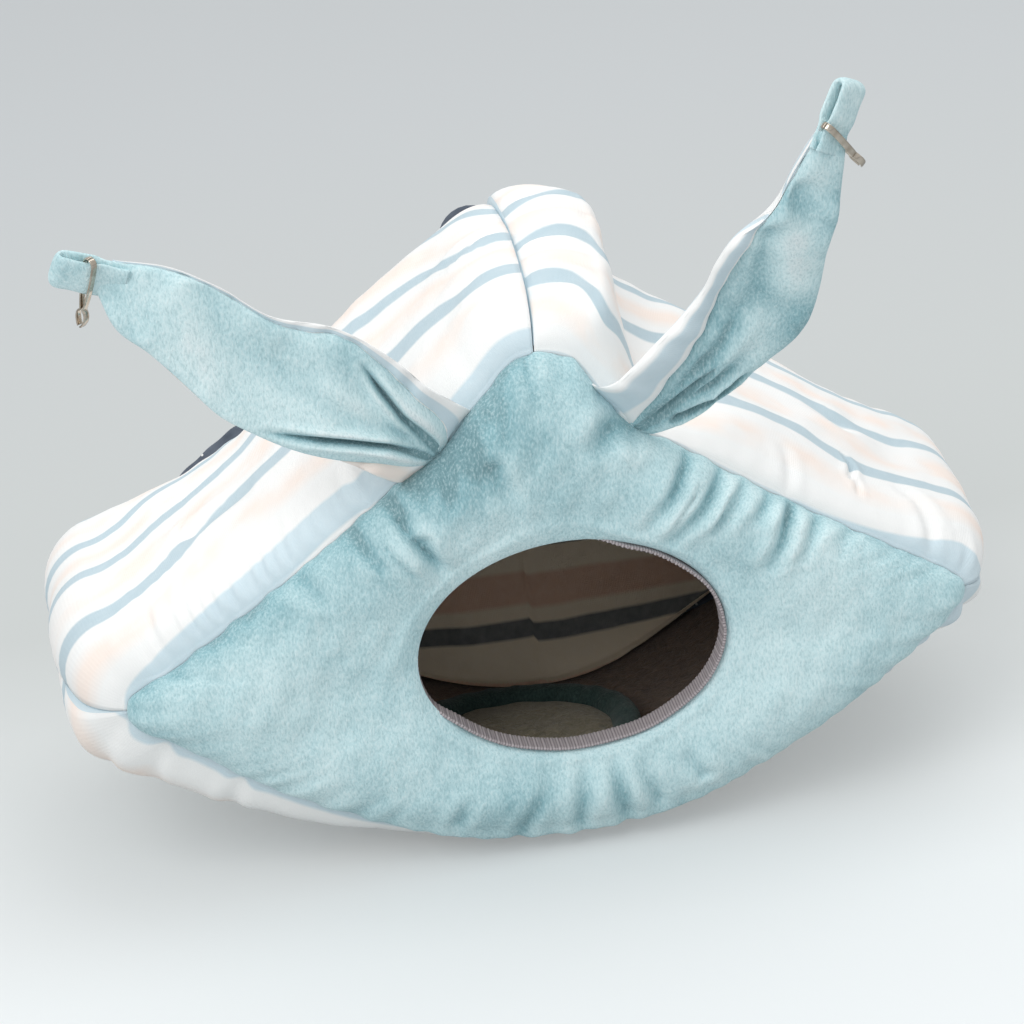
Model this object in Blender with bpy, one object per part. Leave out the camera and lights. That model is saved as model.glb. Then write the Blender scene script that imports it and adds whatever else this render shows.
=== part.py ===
"""Small hanging animal house: a padded tent on a rounded base, with two padded ears as front hanging straps.

Metres, +Z up, +X to the right, the entrance faces -Y. The origin is the middle of the flat patch that the
rounded base rests on. Each wall is a cover, a wadding and a lining, sewn together at its edges.
"""

import math

import bmesh
import bpy
import numpy as np
from mathutils import Matrix, Vector

# Outline of the front and back seams, seen from the front
SEAM_HALF_WIDTH = 0.169
CORNER_RISE = 0.0785
APEX_RISE = 0.2045
ROOF_SAG = 0.105
ROOF_SAG_POWER = 0.65
APEX_ROUNDING = 0.05
BASE_POWER = 2.1
CORNER_ROUNDING = 0.030
SEAM_DEPTH = 0.140
BACK_WIDENING = 0.07
BACK_RISING = 0.08

# Walls: thin at the seams, puffed between them
SEAM_WALL = 0.0042
ROOF_PUFF = 0.014
RIDGE_PUFF = 0.024
BASE_PUFF = 0.009
LEFT_CORNER_PUFF = 0.026
RIGHT_CORNER_PUFF = 0.019
INNER_PUFF = 0.003
FRONT_PUFF = 0.010
FRONT_PUFF_AT_ENTRANCE = 0.006
FRONT_FULLEST_AT = 0.7
BACK_PUFF = 0.012
PUFF_POWER = 4
RIDGE_POWER = 9
COTTON = 0.0012
PLUSH = 0.0018
LINING = 0.0010
LAYER_GAP = 0.0003
WALL_GAP = 0.0004
REST_FLAT = 0.0005

# Entrance
ENTRANCE_HALF_WIDTH = 0.0600
ENTRANCE_HALF_HEIGHT = 0.0435
ENTRANCE_OFFSET = 0.0065
ENTRANCE_RISE = 0.077
TAPE = 0.0014
TAPE_LAP = 0.0010

# Floor cushion
CUSHION_X = -0.010
CUSHION_OFF_FRONT_SEAM = 0.003
CUSHION_HALF_WIDTH = 0.047
CUSHION_HALF_DEPTH = 0.042
BORDER_WIDTH = 0.012
BORDER_HEIGHT = 0.016
PAD_HEIGHT = 0.011
PAD_CROWN = 0.006
PAD_EDGE_ROUNDING = 0.0028

# Ears, in their own frame: x along the ear, y across it, z out of its plush face
EAR_SEAM_X = 0.0375
EAR_LENGTH = 0.133
EAR_ROOT_HALF_WIDTH = 0.0050
EAR_TIP_HALF_WIDTH = 0.0072
EAR_UPPER_BULGE = 0.011
EAR_LOWER_BULGE = 0.020
EAR_FULLEST_SKEW = 0.85
EAR_BLUNTNESS = 0.9
EAR_END_FILL = 0.4
EAR_CUP = 0.010
EAR_EDGE_LAYER = 0.0006
EAR_WADDING = 0.0050
EAR_COVER = 0.0014
ROOT_RADIUS = 0.0050
ROOT_LENGTH = 0.016
ROOT_PLEATS = 6
ROOT_PLEAT_DEPTH = 0.0007
EAR_PLANE = 0.0105
LEFT_EAR_RISE = 37.5
RIGHT_EAR_RISE = 58.5
LEFT_EAR_LEAN = 3.0
RIGHT_EAR_LEAN = 18.0
LEFT_EAR_ROLL = 4.0
RIGHT_EAR_ROLL = -26.0

# Strap loops, in their own frame: x along the loop, y across the strap, z out of its face
STRAP = 0.0020
STRAP_HALF_WIDTH = 0.0072
FRONT_SLOT_LENGTH = 0.0155
REAR_SLOT_LENGTH = 0.0195
SLOT_GAP = 0.0034
SLOT_OPENS_IN = 0.0030
SLOT_PINCH = 0.12
FRONT_LOOP_ROOT = 0.0030
REAR_LOOP_ROOT = 0.0140
REAR_SEAM_X = 0.050
REAR_LOOP_STAND = 0.0034
REAR_LOOP_ARCH = 0.030
REAR_LOOP_SET_BACK = 90.0
LEFT_LOOP_RISE = 22.0
RIGHT_LOOP_RISE = 64.0
LEFT_LOOP_LEAN = 3.0
RIGHT_LOOP_LEAN = -5.0
LEFT_LOOP_ROLL = 4.0
RIGHT_LOOP_ROLL = -37.0

# Spring clips: strip bent to a hairpin that holds one layer of the strap
CLIP_STRIP = 0.0006
CLIP_STRIP_WIDTH = 0.0030
CLIP_LENGTH = 0.0310
CLIP_FOLD_HALF = 0.0022
CLIP_NECK_HALF = 0.0007
CLIP_LIP_HALF = 0.0024
CLIP_NECK_AT = 0.72
CLIP_TAPER_POWER = 6
CLIP_LIP_SKEW = 0.75
CLIP_LIP_BLUNTNESS = 0.8
CLIP_FOLD_CLEAR = 0.0017
CLIP_FOLD_SPLIT = 0.0004
LEFT_CLIP_ROCK = 8.0
RIGHT_CLIP_ROCK = 10.0
FRONT_CLIP_PLACE = 0.30
REAR_CLIP_PLACE = 0.36

# How finely the shapes are drawn
ROOF_STEPS = 9
BASE_STEPS = 16
DEPTH_STEPS = 8
PANEL_STEPS = 4
CUSHION_STEPS = 28
BORDER_SIDES = 8
PAD_STEPS = 4
EAR_STEPS = 10
EAR_CROSS_STEPS = 6
LOOP_STEPS = 7
CLIP_FOLD_STEPS = 4
CLIP_LEG_STEPS = 14
FINE_STEPS = 400

SEAM_BOTTOM = BASE_PUFF - REST_FLAT
FRONT_Y = -SEAM_DEPTH / 2
BACK_Y = SEAM_DEPTH / 2
CUSHION_CENTRE = (CUSHION_X, FRONT_Y + CUSHION_OFF_FRONT_SEAM + CUSHION_HALF_DEPTH)

COLOURS = {
    "teal_plush": ((0.33, 0.58, 0.62), 0.95, 0.0),
    "dark_plush": ((0.05, 0.12, 0.13), 0.95, 0.0),
    "striped_cotton": ((0.86, 0.86, 0.84), 0.85, 0.0),
    "slate_cotton": ((0.10, 0.13, 0.17), 0.85, 0.0),
    "wadding": ((0.90, 0.90, 0.88), 1.0, 0.0),
    "brown_fleece": ((0.16, 0.12, 0.09), 1.0, 0.0),
    "cream_fleece": ((0.62, 0.56, 0.44), 1.0, 0.0),
    "grey_tape": ((0.36, 0.33, 0.34), 0.8, 0.0),
    "nickel_steel": ((0.72, 0.69, 0.62), 0.25, 1.0),
}


def clear_scene():
    for obj in list(bpy.data.objects):
        bpy.data.objects.remove(obj)


def material(name, finish):
    colour, roughness, metallic = COLOURS[finish]
    made = bpy.data.materials.new(name)
    made.use_nodes = True
    shader = made.node_tree.nodes["Principled BSDF"]
    shader.inputs["Base Color"].default_value = (*colour, 1.0)
    shader.inputs["Roughness"].default_value = roughness
    shader.inputs["Metallic"].default_value = metallic
    return made


def pivot(name, place, turn=None, parent=None):
    """An empty placed in its parent's frame; the columns of its rotation matrix are its axes."""
    empty = bpy.data.objects.new(name, None)
    bpy.context.scene.collection.objects.link(empty)
    empty.parent = parent
    frame = Matrix.Identity(4) if turn is None else turn.to_4x4()
    frame.translation = Vector(place)
    empty.matrix_basis = frame
    empty.empty_display_size = 0.01
    return empty


def piece(name, points, faces, finish, parent=None):
    """A named closed solid with its own material."""
    mesh = bpy.data.meshes.new(name)
    mesh.from_pydata([tuple(map(float, p)) for p in points], [], faces)
    build = bmesh.new()
    build.from_mesh(mesh)
    bmesh.ops.recalc_face_normals(build, faces=build.faces)
    build.to_mesh(mesh)
    build.free()
    mesh.shade_smooth()
    mesh.set_sharp_from_angle(angle=math.radians(40))
    mesh.materials.append(material(name, finish))
    obj = bpy.data.objects.new(name, mesh)
    bpy.context.scene.collection.objects.link(obj)
    obj.parent = parent
    return obj


def quad(a, b, c, d):
    return [(a, b, c), (a, c, d)]


def slab(outer, inner, closed=False):
    """Points and faces of the solid between two grids of points of one size.

    closed joins the last row to the first, as round an opening.
    """
    rows, columns = outer.shape[:2]
    points = np.concatenate([outer.reshape(-1, 3), inner.reshape(-1, 3)])
    back = rows * columns
    faces = []
    steps = rows if closed else rows - 1
    for i in range(steps):
        for j in range(columns - 1):
            a = i * columns + j
            b = (i + 1) % rows * columns + j
            faces += quad(a, b, b + 1, a + 1)
            faces += [face[::-1] for face in quad(back + a, back + b, back + b + 1, back + a + 1)]
        for j in (0, columns - 1):
            a = i * columns + j
            b = (i + 1) % rows * columns + j
            faces += quad(a, b, back + b, back + a)
    if not closed:
        for i in (0, rows - 1):
            for j in range(columns - 1):
                a = i * columns + j
                faces += quad(a, a + 1, back + a + 1, back + a)
    return points, faces


def disc(outer, inner):
    """Like a closed slab, with a last column that is one point, the middle, on each side."""
    rows, columns = outer.shape[:2]
    rim_outer = outer[:, :-1]
    rim_inner = inner[:, :-1]
    columns -= 1
    points = np.concatenate([rim_outer.reshape(-1, 3), rim_inner.reshape(-1, 3)])
    back = rows * columns
    middle = 2 * back
    points = np.concatenate([points, [outer[:, -1].mean(axis=0)], [inner[:, -1].mean(axis=0)]])
    faces = []
    for i in range(rows):
        for j in range(columns - 1):
            a = i * columns + j
            b = (i + 1) % rows * columns + j
            faces += quad(a, b, b + 1, a + 1)
            faces += [face[::-1] for face in quad(back + a, back + b, back + b + 1, back + a + 1)]
        a = i * columns
        b = (i + 1) % rows * columns
        faces += quad(a, b, back + b, back + a)
        last_a = a + columns - 1
        last_b = b + columns - 1
        faces.append((last_a, last_b, middle))
        faces.append((back + last_b, back + last_a, middle + 1))
    return points, faces


def band(sections):
    """A closed solid from a list of cross-sections, each a list of points, joined in order and capped."""
    count = len(sections[0])
    points = np.concatenate(sections)
    faces = []
    for i in range(len(sections) - 1):
        for j in range(count):
            a = i * count + j
            b = i * count + (j + 1) % count
            faces += quad(a, b, b + count, a + count)
    faces.append(tuple(range(count))[::-1])
    faces.append(tuple(range(len(points) - count, len(points))))
    return points, faces


def ring(sections):
    """Like a band, with its last cross-section joined to its first."""
    count = len(sections[0])
    total = len(sections) * count
    points = np.concatenate(sections)
    faces = []
    for i in range(len(sections)):
        for j in range(count):
            a = i * count + j
            b = i * count + (j + 1) % count
            faces += quad(a, b, (b + count) % total, (a + count) % total)
    return points, faces


def roof_height(x):
    """Height of the sharp-cornered outline's roof above the seam's lowest point."""
    t = abs(x) / SEAM_HALF_WIDTH
    rounded = math.sqrt(t * t + APEX_ROUNDING**2) - APEX_ROUNDING
    slope = rounded / (math.sqrt(1 + APEX_ROUNDING**2) - APEX_ROUNDING)
    fall = slope + ROOF_SAG * math.sin(math.pi * t**ROOF_SAG_POWER)
    return APEX_RISE - (APEX_RISE - CORNER_RISE) * fall


def base_height(x):
    return CORNER_RISE * (abs(x) / SEAM_HALF_WIDTH) ** BASE_POWER


def fine_outline():
    """The seam's outline as many points, clockwise from the apex, with its corners rounded."""
    across = np.linspace(0, SEAM_HALF_WIDTH, FINE_STEPS)
    roof = [(x, roof_height(x)) for x in across]
    under = [(x, base_height(x)) for x in across[::-1]]
    right = np.array(roof + under[1:])
    left = right[::-1][1:-1] * (-1, 1)
    sharp = np.concatenate([right, left])
    lengths = np.linalg.norm(np.roll(sharp, -1, axis=0) - sharp, axis=1)
    along = np.concatenate([[0], np.cumsum(lengths)])
    closed = np.concatenate([sharp, sharp[:1]])
    even = np.linspace(0, along[-1], 4 * FINE_STEPS, endpoint=False)
    points = np.stack([np.interp(even, along, closed[:, k]) for k in (0, 1)], axis=1)
    window = max(1, round(CORNER_ROUNDING / (even[1] - even[0]) / 2))
    smooth = sum(np.roll(points, k, axis=0) for k in range(-window, window + 1)) / (2 * window + 1)
    return smooth + (0, SEAM_BOTTOM - smooth[:, 1].min())


OUTLINE = fine_outline()
OUTLINE_STEP = np.roll(OUTLINE, -1, axis=0) - OUTLINE
OUTLINE_ALONG = np.concatenate([[0], np.cumsum(np.linalg.norm(OUTLINE_STEP, axis=1))])
OUTLINE_LENGTH = OUTLINE_ALONG[-1]
CORNER_ALONG = OUTLINE_ALONG[int(np.argmax(OUTLINE[:, 0]))]


def outline_at(along):
    """Point and outward normal of the seam's outline, at distances clockwise from the apex."""
    along = np.asarray(along, float)
    tangent_reach = 0.001

    def point(distance):
        wrapped = np.mod(distance, OUTLINE_LENGTH)
        looped = np.concatenate([OUTLINE, OUTLINE[:1]])
        return np.stack([np.interp(wrapped, OUTLINE_ALONG, looped[:, k]) for k in (0, 1)], axis=-1)

    tangent = point(along + tangent_reach) - point(along - tangent_reach)
    tangent /= np.linalg.norm(tangent, axis=-1, keepdims=True)
    normal = np.stack([-tangent[..., 1], tangent[..., 0]], axis=-1)
    return point(along), normal


def clustered(start, end, steps):
    """Distances from start to end, closer together near both ends."""
    return start + (end - start) * (1 - np.cos(np.linspace(0, math.pi, steps + 1))) / 2


ROOF_ALONG = clustered(0, CORNER_ALONG, ROOF_STEPS)
BASE_ALONG = clustered(CORNER_ALONG, OUTLINE_LENGTH - CORNER_ALONG, BASE_STEPS)
WHOLE_ALONG = np.concatenate([ROOF_ALONG[:-1], BASE_ALONG[:-1], OUTLINE_LENGTH - ROOF_ALONG[:0:-1]])


def outline_point_at_x(x):
    """Distance along the outline of the roof's point at x, on either side."""
    ahead = OUTLINE[: int(np.argmax(OUTLINE[:, 0]))]
    along = np.interp(abs(x), ahead[:, 0], OUTLINE_ALONG[: len(ahead)])
    return along if x > 0 else OUTLINE_LENGTH - along


def flared(place, y):
    """A point of the front seam's outline, moved to y: the house widens and its roof rises to the back."""
    share = (y - FRONT_Y) / SEAM_DEPTH
    corner_height = SEAM_BOTTOM + CORNER_RISE
    over = max(0.0, place[1] - corner_height)
    return np.array([place[0] * (1 + BACK_WIDENING * share), place[1] + over * BACK_RISING * share])


def puff_profile(share):
    """0 at a seam, where share is 1, rising fast to 1 in the middle."""
    return np.sqrt(np.clip(1 - np.abs(share) ** PUFF_POWER, 0, 1))


def tube_grid(along, outward):
    """Points of the tent's walls for distances along the outline and y stations.

    outward(share, puff) is the offset; share is x as a share of the half width, and puff runs from 0 to 1.
    """
    depth = (SEAM_DEPTH - WALL_GAP) / 2
    stations = -depth * np.cos(np.linspace(0, math.pi, DEPTH_STEPS + 1))
    ends = along.copy()
    ends[0] += WALL_GAP / 2
    ends[-1] -= WALL_GAP / 2
    places, _ = outline_at(ends)
    _, normals = outline_at(along)
    grid = np.zeros((len(along), len(stations), 3))
    for i, (place, normal) in enumerate(zip(places, normals)):
        for j, y in enumerate(stations):
            offset = outward(place[0] / SEAM_HALF_WIDTH, puff_profile(y / depth))
            x, z = flared(place, y) + normal * offset
            grid[i, j] = (x, y, z)
    return grid


def tube_wall(along, middle_puff, centre_puff):
    """The cover, wadding and lining of one wall of the tent, each as a slab's points and faces.

    The puff is centre_puff at x = 0, falls to middle_puff beside it and rises again to the corner.
    """

    def outer(share, puff):
        corner_puff = LEFT_CORNER_PUFF if share < 0 else RIGHT_CORNER_PUFF
        share = min(abs(share), 1)
        at_centre = (centre_puff - middle_puff) * (1 - share) ** RIDGE_POWER
        at_corner = (corner_puff - middle_puff) * share**PUFF_POWER
        return (middle_puff + at_centre + at_corner) * puff

    def inner(share, puff):
        return -SEAM_WALL - INNER_PUFF * puff

    levels = [
        outer,
        lambda share, puff: outer(share, puff) - COTTON,
        lambda share, puff: outer(share, puff) - COTTON - LAYER_GAP,
        lambda share, puff: inner(share, puff) + LINING + LAYER_GAP,
        lambda share, puff: inner(share, puff) + LINING,
        inner,
    ]
    grids = [tube_grid(along, level) for level in levels]
    return [slab(grids[k], grids[k + 1]) for k in (0, 2, 4)]


def cut_flat(obj, height):
    """Removes what lies below a height and closes the cut with one flat face."""
    build = bmesh.new()
    build.from_mesh(obj.data)
    parts = build.verts[:] + build.edges[:] + build.faces[:]
    down = (0, 0, -1)
    cut = bmesh.ops.bisect_plane(build, geom=parts, plane_co=(0, 0, height), plane_no=down, clear_outer=True)
    edges = [part for part in cut["geom_cut"] if isinstance(part, bmesh.types.BMEdge)]
    bmesh.ops.contextual_create(build, geom=edges)
    bmesh.ops.recalc_face_normals(build, faces=build.faces)
    build.to_mesh(obj.data)
    build.free()


def roof_and_base():
    walls = {
        "right_roof": (ROOF_ALONG, ROOF_PUFF, RIDGE_PUFF, "striped_cotton"),
        "left_roof": (OUTLINE_LENGTH - ROOF_ALONG[::-1], ROOF_PUFF, RIDGE_PUFF, "striped_cotton"),
        "base": (BASE_ALONG, BASE_PUFF, BASE_PUFF, "brown_fleece"),
    }
    for name, (along, middle_puff, centre_puff, lining_finish) in walls.items():
        cover, wadding, lining = tube_wall(along, middle_puff, centre_puff)
        made = piece(f"{name}_cover", *cover, "striped_cotton")
        if name == "base":
            cut_flat(made, 0.0)
        piece(f"{name}_wadding", *wadding, "wadding")
        piece("floor_lining" if name == "base" else f"{name}_lining", *lining, lining_finish)


def entrance_point(towards, shrink=0.0):
    """The point of the entrance's ellipse that lies towards a point of the outline."""
    centre = np.array([ENTRANCE_OFFSET, SEAM_BOTTOM + ENTRANCE_RISE])
    half = np.array([ENTRANCE_HALF_WIDTH, ENTRANCE_HALF_HEIGHT]) - shrink
    direction = (towards - centre) / half
    return centre + half * direction / np.linalg.norm(direction)


def front_puff(share):
    """How far the front panel swells; share is 1 at the outline and 0 at the entrance."""
    rise = math.sin(math.pi / 2 * min(1, share / FRONT_FULLEST_AT))
    full = FRONT_PUFF_AT_ENTRANCE + (FRONT_PUFF - FRONT_PUFF_AT_ENTRANCE) * rise
    return full * puff_profile(share)


def panel_levels(flat_y, facing, puff, cover):
    """y of the six faces of a panel's cover, wadding and lining. facing is -1 in front and 1 behind."""
    outer = flat_y + facing * (SEAM_WALL + puff)
    inner = flat_y
    return [
        outer,
        outer - facing * cover,
        outer - facing * (cover + LAYER_GAP),
        inner + facing * (LINING + LAYER_GAP),
        inner + facing * LINING,
        inner,
    ]


def front_panel():
    flat_y = FRONT_Y - WALL_GAP / 2
    places, _ = outline_at(WHOLE_ALONG)
    shares = np.sin(np.linspace(0, math.pi / 2, PANEL_STEPS + 1))[::-1]
    grids = np.zeros((6, len(places), len(shares), 3))
    for i, place in enumerate(places):
        hole = entrance_point(place)
        for j, share in enumerate(shares):
            x, z = hole + (place - hole) * share
            for k, y in enumerate(panel_levels(flat_y, -1, front_puff(share), PLUSH)):
                grids[k, i, j] = (x, y, z)
    layers = {"cover": "teal_plush", "wadding": "wadding", "lining": "striped_cotton"}
    for k, (layer, finish) in enumerate(layers.items()):
        piece(f"front_panel_{layer}", *slab(grids[2 * k], grids[2 * k + 1], closed=True), finish)


def entrance_binding():
    """The tape that lies round the wall of the entrance."""
    inner_y = FRONT_Y + TAPE_LAP
    outer_y = FRONT_Y - WALL_GAP / 2 - SEAM_WALL - FRONT_PUFF_AT_ENTRANCE - TAPE_LAP
    places, _ = outline_at(WHOLE_ALONG)
    sections = []
    for place in places:
        near_x, near_z = entrance_point(place, LAYER_GAP)
        far_x, far_z = entrance_point(place, LAYER_GAP + TAPE)
        near = [(near_x, inner_y, near_z), (near_x, outer_y, near_z)]
        far = [(far_x, outer_y, far_z), (far_x, inner_y, far_z)]
        sections.append(np.array(near + far))
    piece("entrance_binding", *ring(sections), "grey_tape")


def back_panel():
    flat_y = BACK_Y + WALL_GAP / 2
    places, _ = outline_at(WHOLE_ALONG)
    centre = np.array([0.0, SEAM_BOTTOM + CORNER_RISE])
    shares = np.sin(np.linspace(0, math.pi / 2, PANEL_STEPS + 1))[::-1]
    grids = np.zeros((6, len(places), len(shares), 3))
    for i, place in enumerate(places):
        for j, share in enumerate(shares):
            x, z = centre + (flared(place, BACK_Y) - centre) * share
            for k, y in enumerate(panel_levels(flat_y, 1, BACK_PUFF * puff_profile(share), COTTON)):
                grids[k, i, j] = (x, y, z)
    layers = {"cover": "slate_cotton", "wadding": "wadding", "lining": "striped_cotton"}
    for k, (layer, finish) in enumerate(layers.items()):
        piece(f"back_panel_{layer}", *disc(grids[2 * k], grids[2 * k + 1]), finish)


def floor_height(x):
    """Height that clears the floor lining's facets at x, over the whole depth."""
    places, normals = outline_at(BASE_ALONG[::-1])
    inside = places - normals * (SEAM_WALL + INNER_PUFF)
    return float(np.interp(x, inside[:, 0], inside[:, 1])) + LAYER_GAP


def cushion_point(angle, inset):
    x = CUSHION_CENTRE[0] + (CUSHION_HALF_WIDTH - inset) * math.cos(angle)
    y = CUSHION_CENTRE[1] + (CUSHION_HALF_DEPTH - inset) * math.sin(angle)
    return x, y


def floor_cushion(parent):
    """A crowned pad inside a rolled border, both shaped to the curved floor."""
    angles = np.linspace(0, 2 * math.pi, CUSHION_STEPS, endpoint=False)
    origin = np.array(parent.matrix_basis.translation)
    roll = np.linspace(0, 2 * math.pi, BORDER_SIDES, endpoint=False)
    sections = []
    for angle in angles:
        section = []
        for turn in roll:
            inset = BORDER_WIDTH / 2 * (1 - math.cos(turn))
            x, y = cushion_point(angle, inset)
            rise = BORDER_HEIGHT / 2 * (1 + math.sin(turn))
            section.append(np.array([x, y, floor_height(x) + rise]) - origin)
        sections.append(np.array(section))
    piece("cushion_border", *ring(sections), "dark_plush", parent)
    pad_inset = BORDER_WIDTH + LAYER_GAP
    shares = np.sin(np.linspace(math.pi / 2, 0, PAD_STEPS + 1))
    top = np.zeros((len(angles), len(shares), 3))
    bottom = np.zeros((len(angles), len(shares), 3))
    middle_width = CUSHION_HALF_WIDTH - pad_inset
    middle_depth = CUSHION_HALF_DEPTH - pad_inset
    for i, angle in enumerate(angles):
        for j, share in enumerate(shares):
            x = CUSHION_CENTRE[0] + middle_width * share * math.cos(angle)
            y = CUSHION_CENTRE[1] + middle_depth * share * math.sin(angle)
            rounding = PAD_EDGE_ROUNDING if j == 0 else 0.0
            bottom[i, j] = np.array([x, y, floor_height(x) + rounding]) - origin
            crown = PAD_HEIGHT - rounding + PAD_CROWN * (1 - share * share)
            top[i, j] = np.array([x, y, floor_height(x) + crown]) - origin
    piece("cushion_pad", *disc(top, bottom), "cream_fleece", parent)


def ear_half_width(t, v):
    """Width from an ear's middle line to its edge; v is positive towards the upper edge."""
    root_to_tip = EAR_ROOT_HALF_WIDTH + (EAR_TIP_HALF_WIDTH - EAR_ROOT_HALF_WIDTH) * t
    bulge = EAR_UPPER_BULGE if v > 0 else EAR_LOWER_BULGE
    return root_to_tip + bulge * max(0.0, math.sin(math.pi * t**EAR_FULLEST_SKEW)) ** EAR_BLUNTNESS


def ear_layer_half(fill):
    return EAR_EDGE_LAYER + (EAR_WADDING / 2 - EAR_EDGE_LAYER) * fill


def ear_start(lean):
    """Where an ear begins, so that its leaning end keeps clear of its root's barrel."""
    lean = math.radians(lean)
    face_height = ear_layer_half(EAR_END_FILL) + EAR_COVER + LAYER_GAP
    return (ROOT_RADIUS + WALL_GAP + face_height * math.sin(lean)) / math.cos(lean)


def ear_grid(side, start, level):
    """One face of an ear's layers in the ear's frame. level(fill) is the height over the middle surface."""
    grid = np.zeros((EAR_STEPS + 1, EAR_CROSS_STEPS + 1, 3))
    for i, t in enumerate(clustered(0.0, 1.0, EAR_STEPS)):
        for j, v in enumerate(np.sin(np.linspace(-math.pi / 2, math.pi / 2, EAR_CROSS_STEPS + 1))):
            along_fill = EAR_END_FILL + (1 - EAR_END_FILL) * math.sin(math.pi * t)
            fill = math.sqrt(max(0.0, 1 - v * v)) * along_fill
            cup = EAR_CUP * v * v * math.sin(math.pi * t)
            x = start + (EAR_LENGTH - start) * t
            grid[i, j] = (x, side * ear_half_width(t, v) * v, cup + level(fill))
    return grid


def ear_layers(name, side, lean, parent):
    covers = EAR_COVER + LAYER_GAP
    levels = [
        lambda fill: ear_layer_half(fill) + covers,
        lambda fill: ear_layer_half(fill) + LAYER_GAP,
        ear_layer_half,
        lambda fill: -ear_layer_half(fill),
        lambda fill: -ear_layer_half(fill) - LAYER_GAP,
        lambda fill: -ear_layer_half(fill) - covers,
    ]
    start = ear_start(lean)
    grids = [ear_grid(side, start, level) for level in levels]
    piece(f"{name}_face", *slab(grids[0], grids[1]), "teal_plush", parent)
    piece(f"{name}_wadding", *slab(grids[2], grids[3]), "wadding", parent)
    piece(f"{name}_back", *slab(grids[4], grids[5]), "striped_cotton", parent)


def ear_root(name, place):
    """The gathered root of an ear: a pleated barrel round the axis that the ear bends about."""
    near_y = FRONT_Y - WALL_GAP / 2
    sections = []
    for y in (near_y, near_y - ROOT_LENGTH):
        section = []
        for turn in np.linspace(0, 2 * math.pi, 4 * ROOT_PLEATS, endpoint=False):
            radius = ROOT_RADIUS - ROOT_PLEAT_DEPTH * (1 - math.cos(ROOT_PLEATS * turn)) / 2
            section.append((place[0] + radius * math.cos(turn), y, place[2] + radius * math.sin(turn)))
        sections.append(np.array(section))
    piece(f"{name}_root", *band(sections), "teal_plush")


def loop_profile(slot_start, slot_length, spine):
    """Outer and inner points of a strap loop's side view. spine(x) is the height of its middle line at x."""
    length = slot_start + slot_length
    turns = np.linspace(-math.pi / 2, math.pi / 2, LOOP_STEPS)
    gap = SLOT_GAP / 2
    outer = []
    inner = []
    for x in np.linspace(0, length - gap, LOOP_STEPS):
        opened = np.clip((x - slot_start) / SLOT_OPENS_IN, SLOT_PINCH, 1)
        outer.append((x, gap * opened + STRAP, spine(x)))
        inner.append((max(x, slot_start), gap * opened, spine(max(x, slot_start))))
    upper_outer = [(x, spine_z + h) for x, h, spine_z in outer]
    lower_outer = [(x, spine_z - h) for x, h, spine_z in outer]
    upper_inner = [(x, spine_z + h) for x, h, spine_z in inner]
    lower_inner = [(x, spine_z - h) for x, h, spine_z in inner]
    bend_x = length - gap
    slope = math.atan2(spine(bend_x) - spine(bend_x - STRAP), STRAP)

    def bend(radius):
        return [(bend_x + radius * math.cos(a), spine(bend_x) + radius * math.sin(a)) for a in turns + slope]

    outer_path = lower_outer[:-1] + bend(gap + STRAP) + upper_outer[:-1][::-1]
    inner_path = lower_inner[:-1] + bend(gap) + upper_inner[:-1][::-1]
    return outer_path, inner_path


def strap_loop(name, slot_start, slot_length, spine, parent):
    """A strap folded on itself: a flat ring whose two ends are sewn together at its root."""
    outer_path, inner_path = loop_profile(slot_start, slot_length, spine)
    half = STRAP_HALF_WIDTH
    sections = []
    for (outer_x, outer_z), (inner_x, inner_z) in zip(outer_path, inner_path):
        outer = [(outer_x, -half, outer_z), (outer_x, half, outer_z)]
        inner = [(inner_x, half, inner_z), (inner_x, -half, inner_z)]
        sections.append(np.array(outer + inner))
    piece(name, *ring(sections), "teal_plush", parent)


def clip_half_gap(share):
    """Half the distance between a clip's two legs; share is 0 at its fold and 1 at its lips."""
    if share < CLIP_NECK_AT:
        return CLIP_FOLD_HALF + (CLIP_NECK_HALF - CLIP_FOLD_HALF) * (share / CLIP_NECK_AT) ** CLIP_TAPER_POWER
    beyond = (share - CLIP_NECK_AT) / (1 - CLIP_NECK_AT)
    flare = max(0.0, math.sin(math.pi * beyond**CLIP_LIP_SKEW)) ** CLIP_LIP_BLUNTNESS
    return CLIP_NECK_HALF + (CLIP_LIP_HALF - CLIP_NECK_HALF) * flare


def clip_leg(name, facing, parent):
    """Half of a bent strip, in the clip's frame: x down the clip, y across the strip, z across the legs."""
    path = []
    fold_radius = CLIP_FOLD_HALF
    first = math.asin(CLIP_FOLD_SPLIT / 2 / fold_radius)
    for turn in np.linspace(first, math.pi / 2, CLIP_FOLD_STEPS + 1):
        path.append((fold_radius * (1 - math.cos(turn)), fold_radius * math.sin(turn)))
    for share in np.linspace(0, 1, CLIP_LEG_STEPS + 1)[1:]:
        x = fold_radius + (CLIP_LENGTH - fold_radius) * share
        path.append((x, clip_half_gap(share)))
    path = np.array(path)
    tangents = np.gradient(path, axis=0)
    tangents /= np.linalg.norm(tangents, axis=1, keepdims=True)
    half = CLIP_STRIP_WIDTH / 2
    sections = []
    for (x, z), (along, across) in zip(path, tangents):
        section = []
        for face, edge in ((1, -half), (1, half), (-1, half), (-1, -half)):
            section_x = x - face * across * CLIP_STRIP / 2
            section_z = facing * (z + face * along * CLIP_STRIP / 2)
            section.append((section_x, edge, section_z))
        sections.append(np.array(section))
    piece(name, *band(sections), "nickel_steel", parent)


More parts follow.
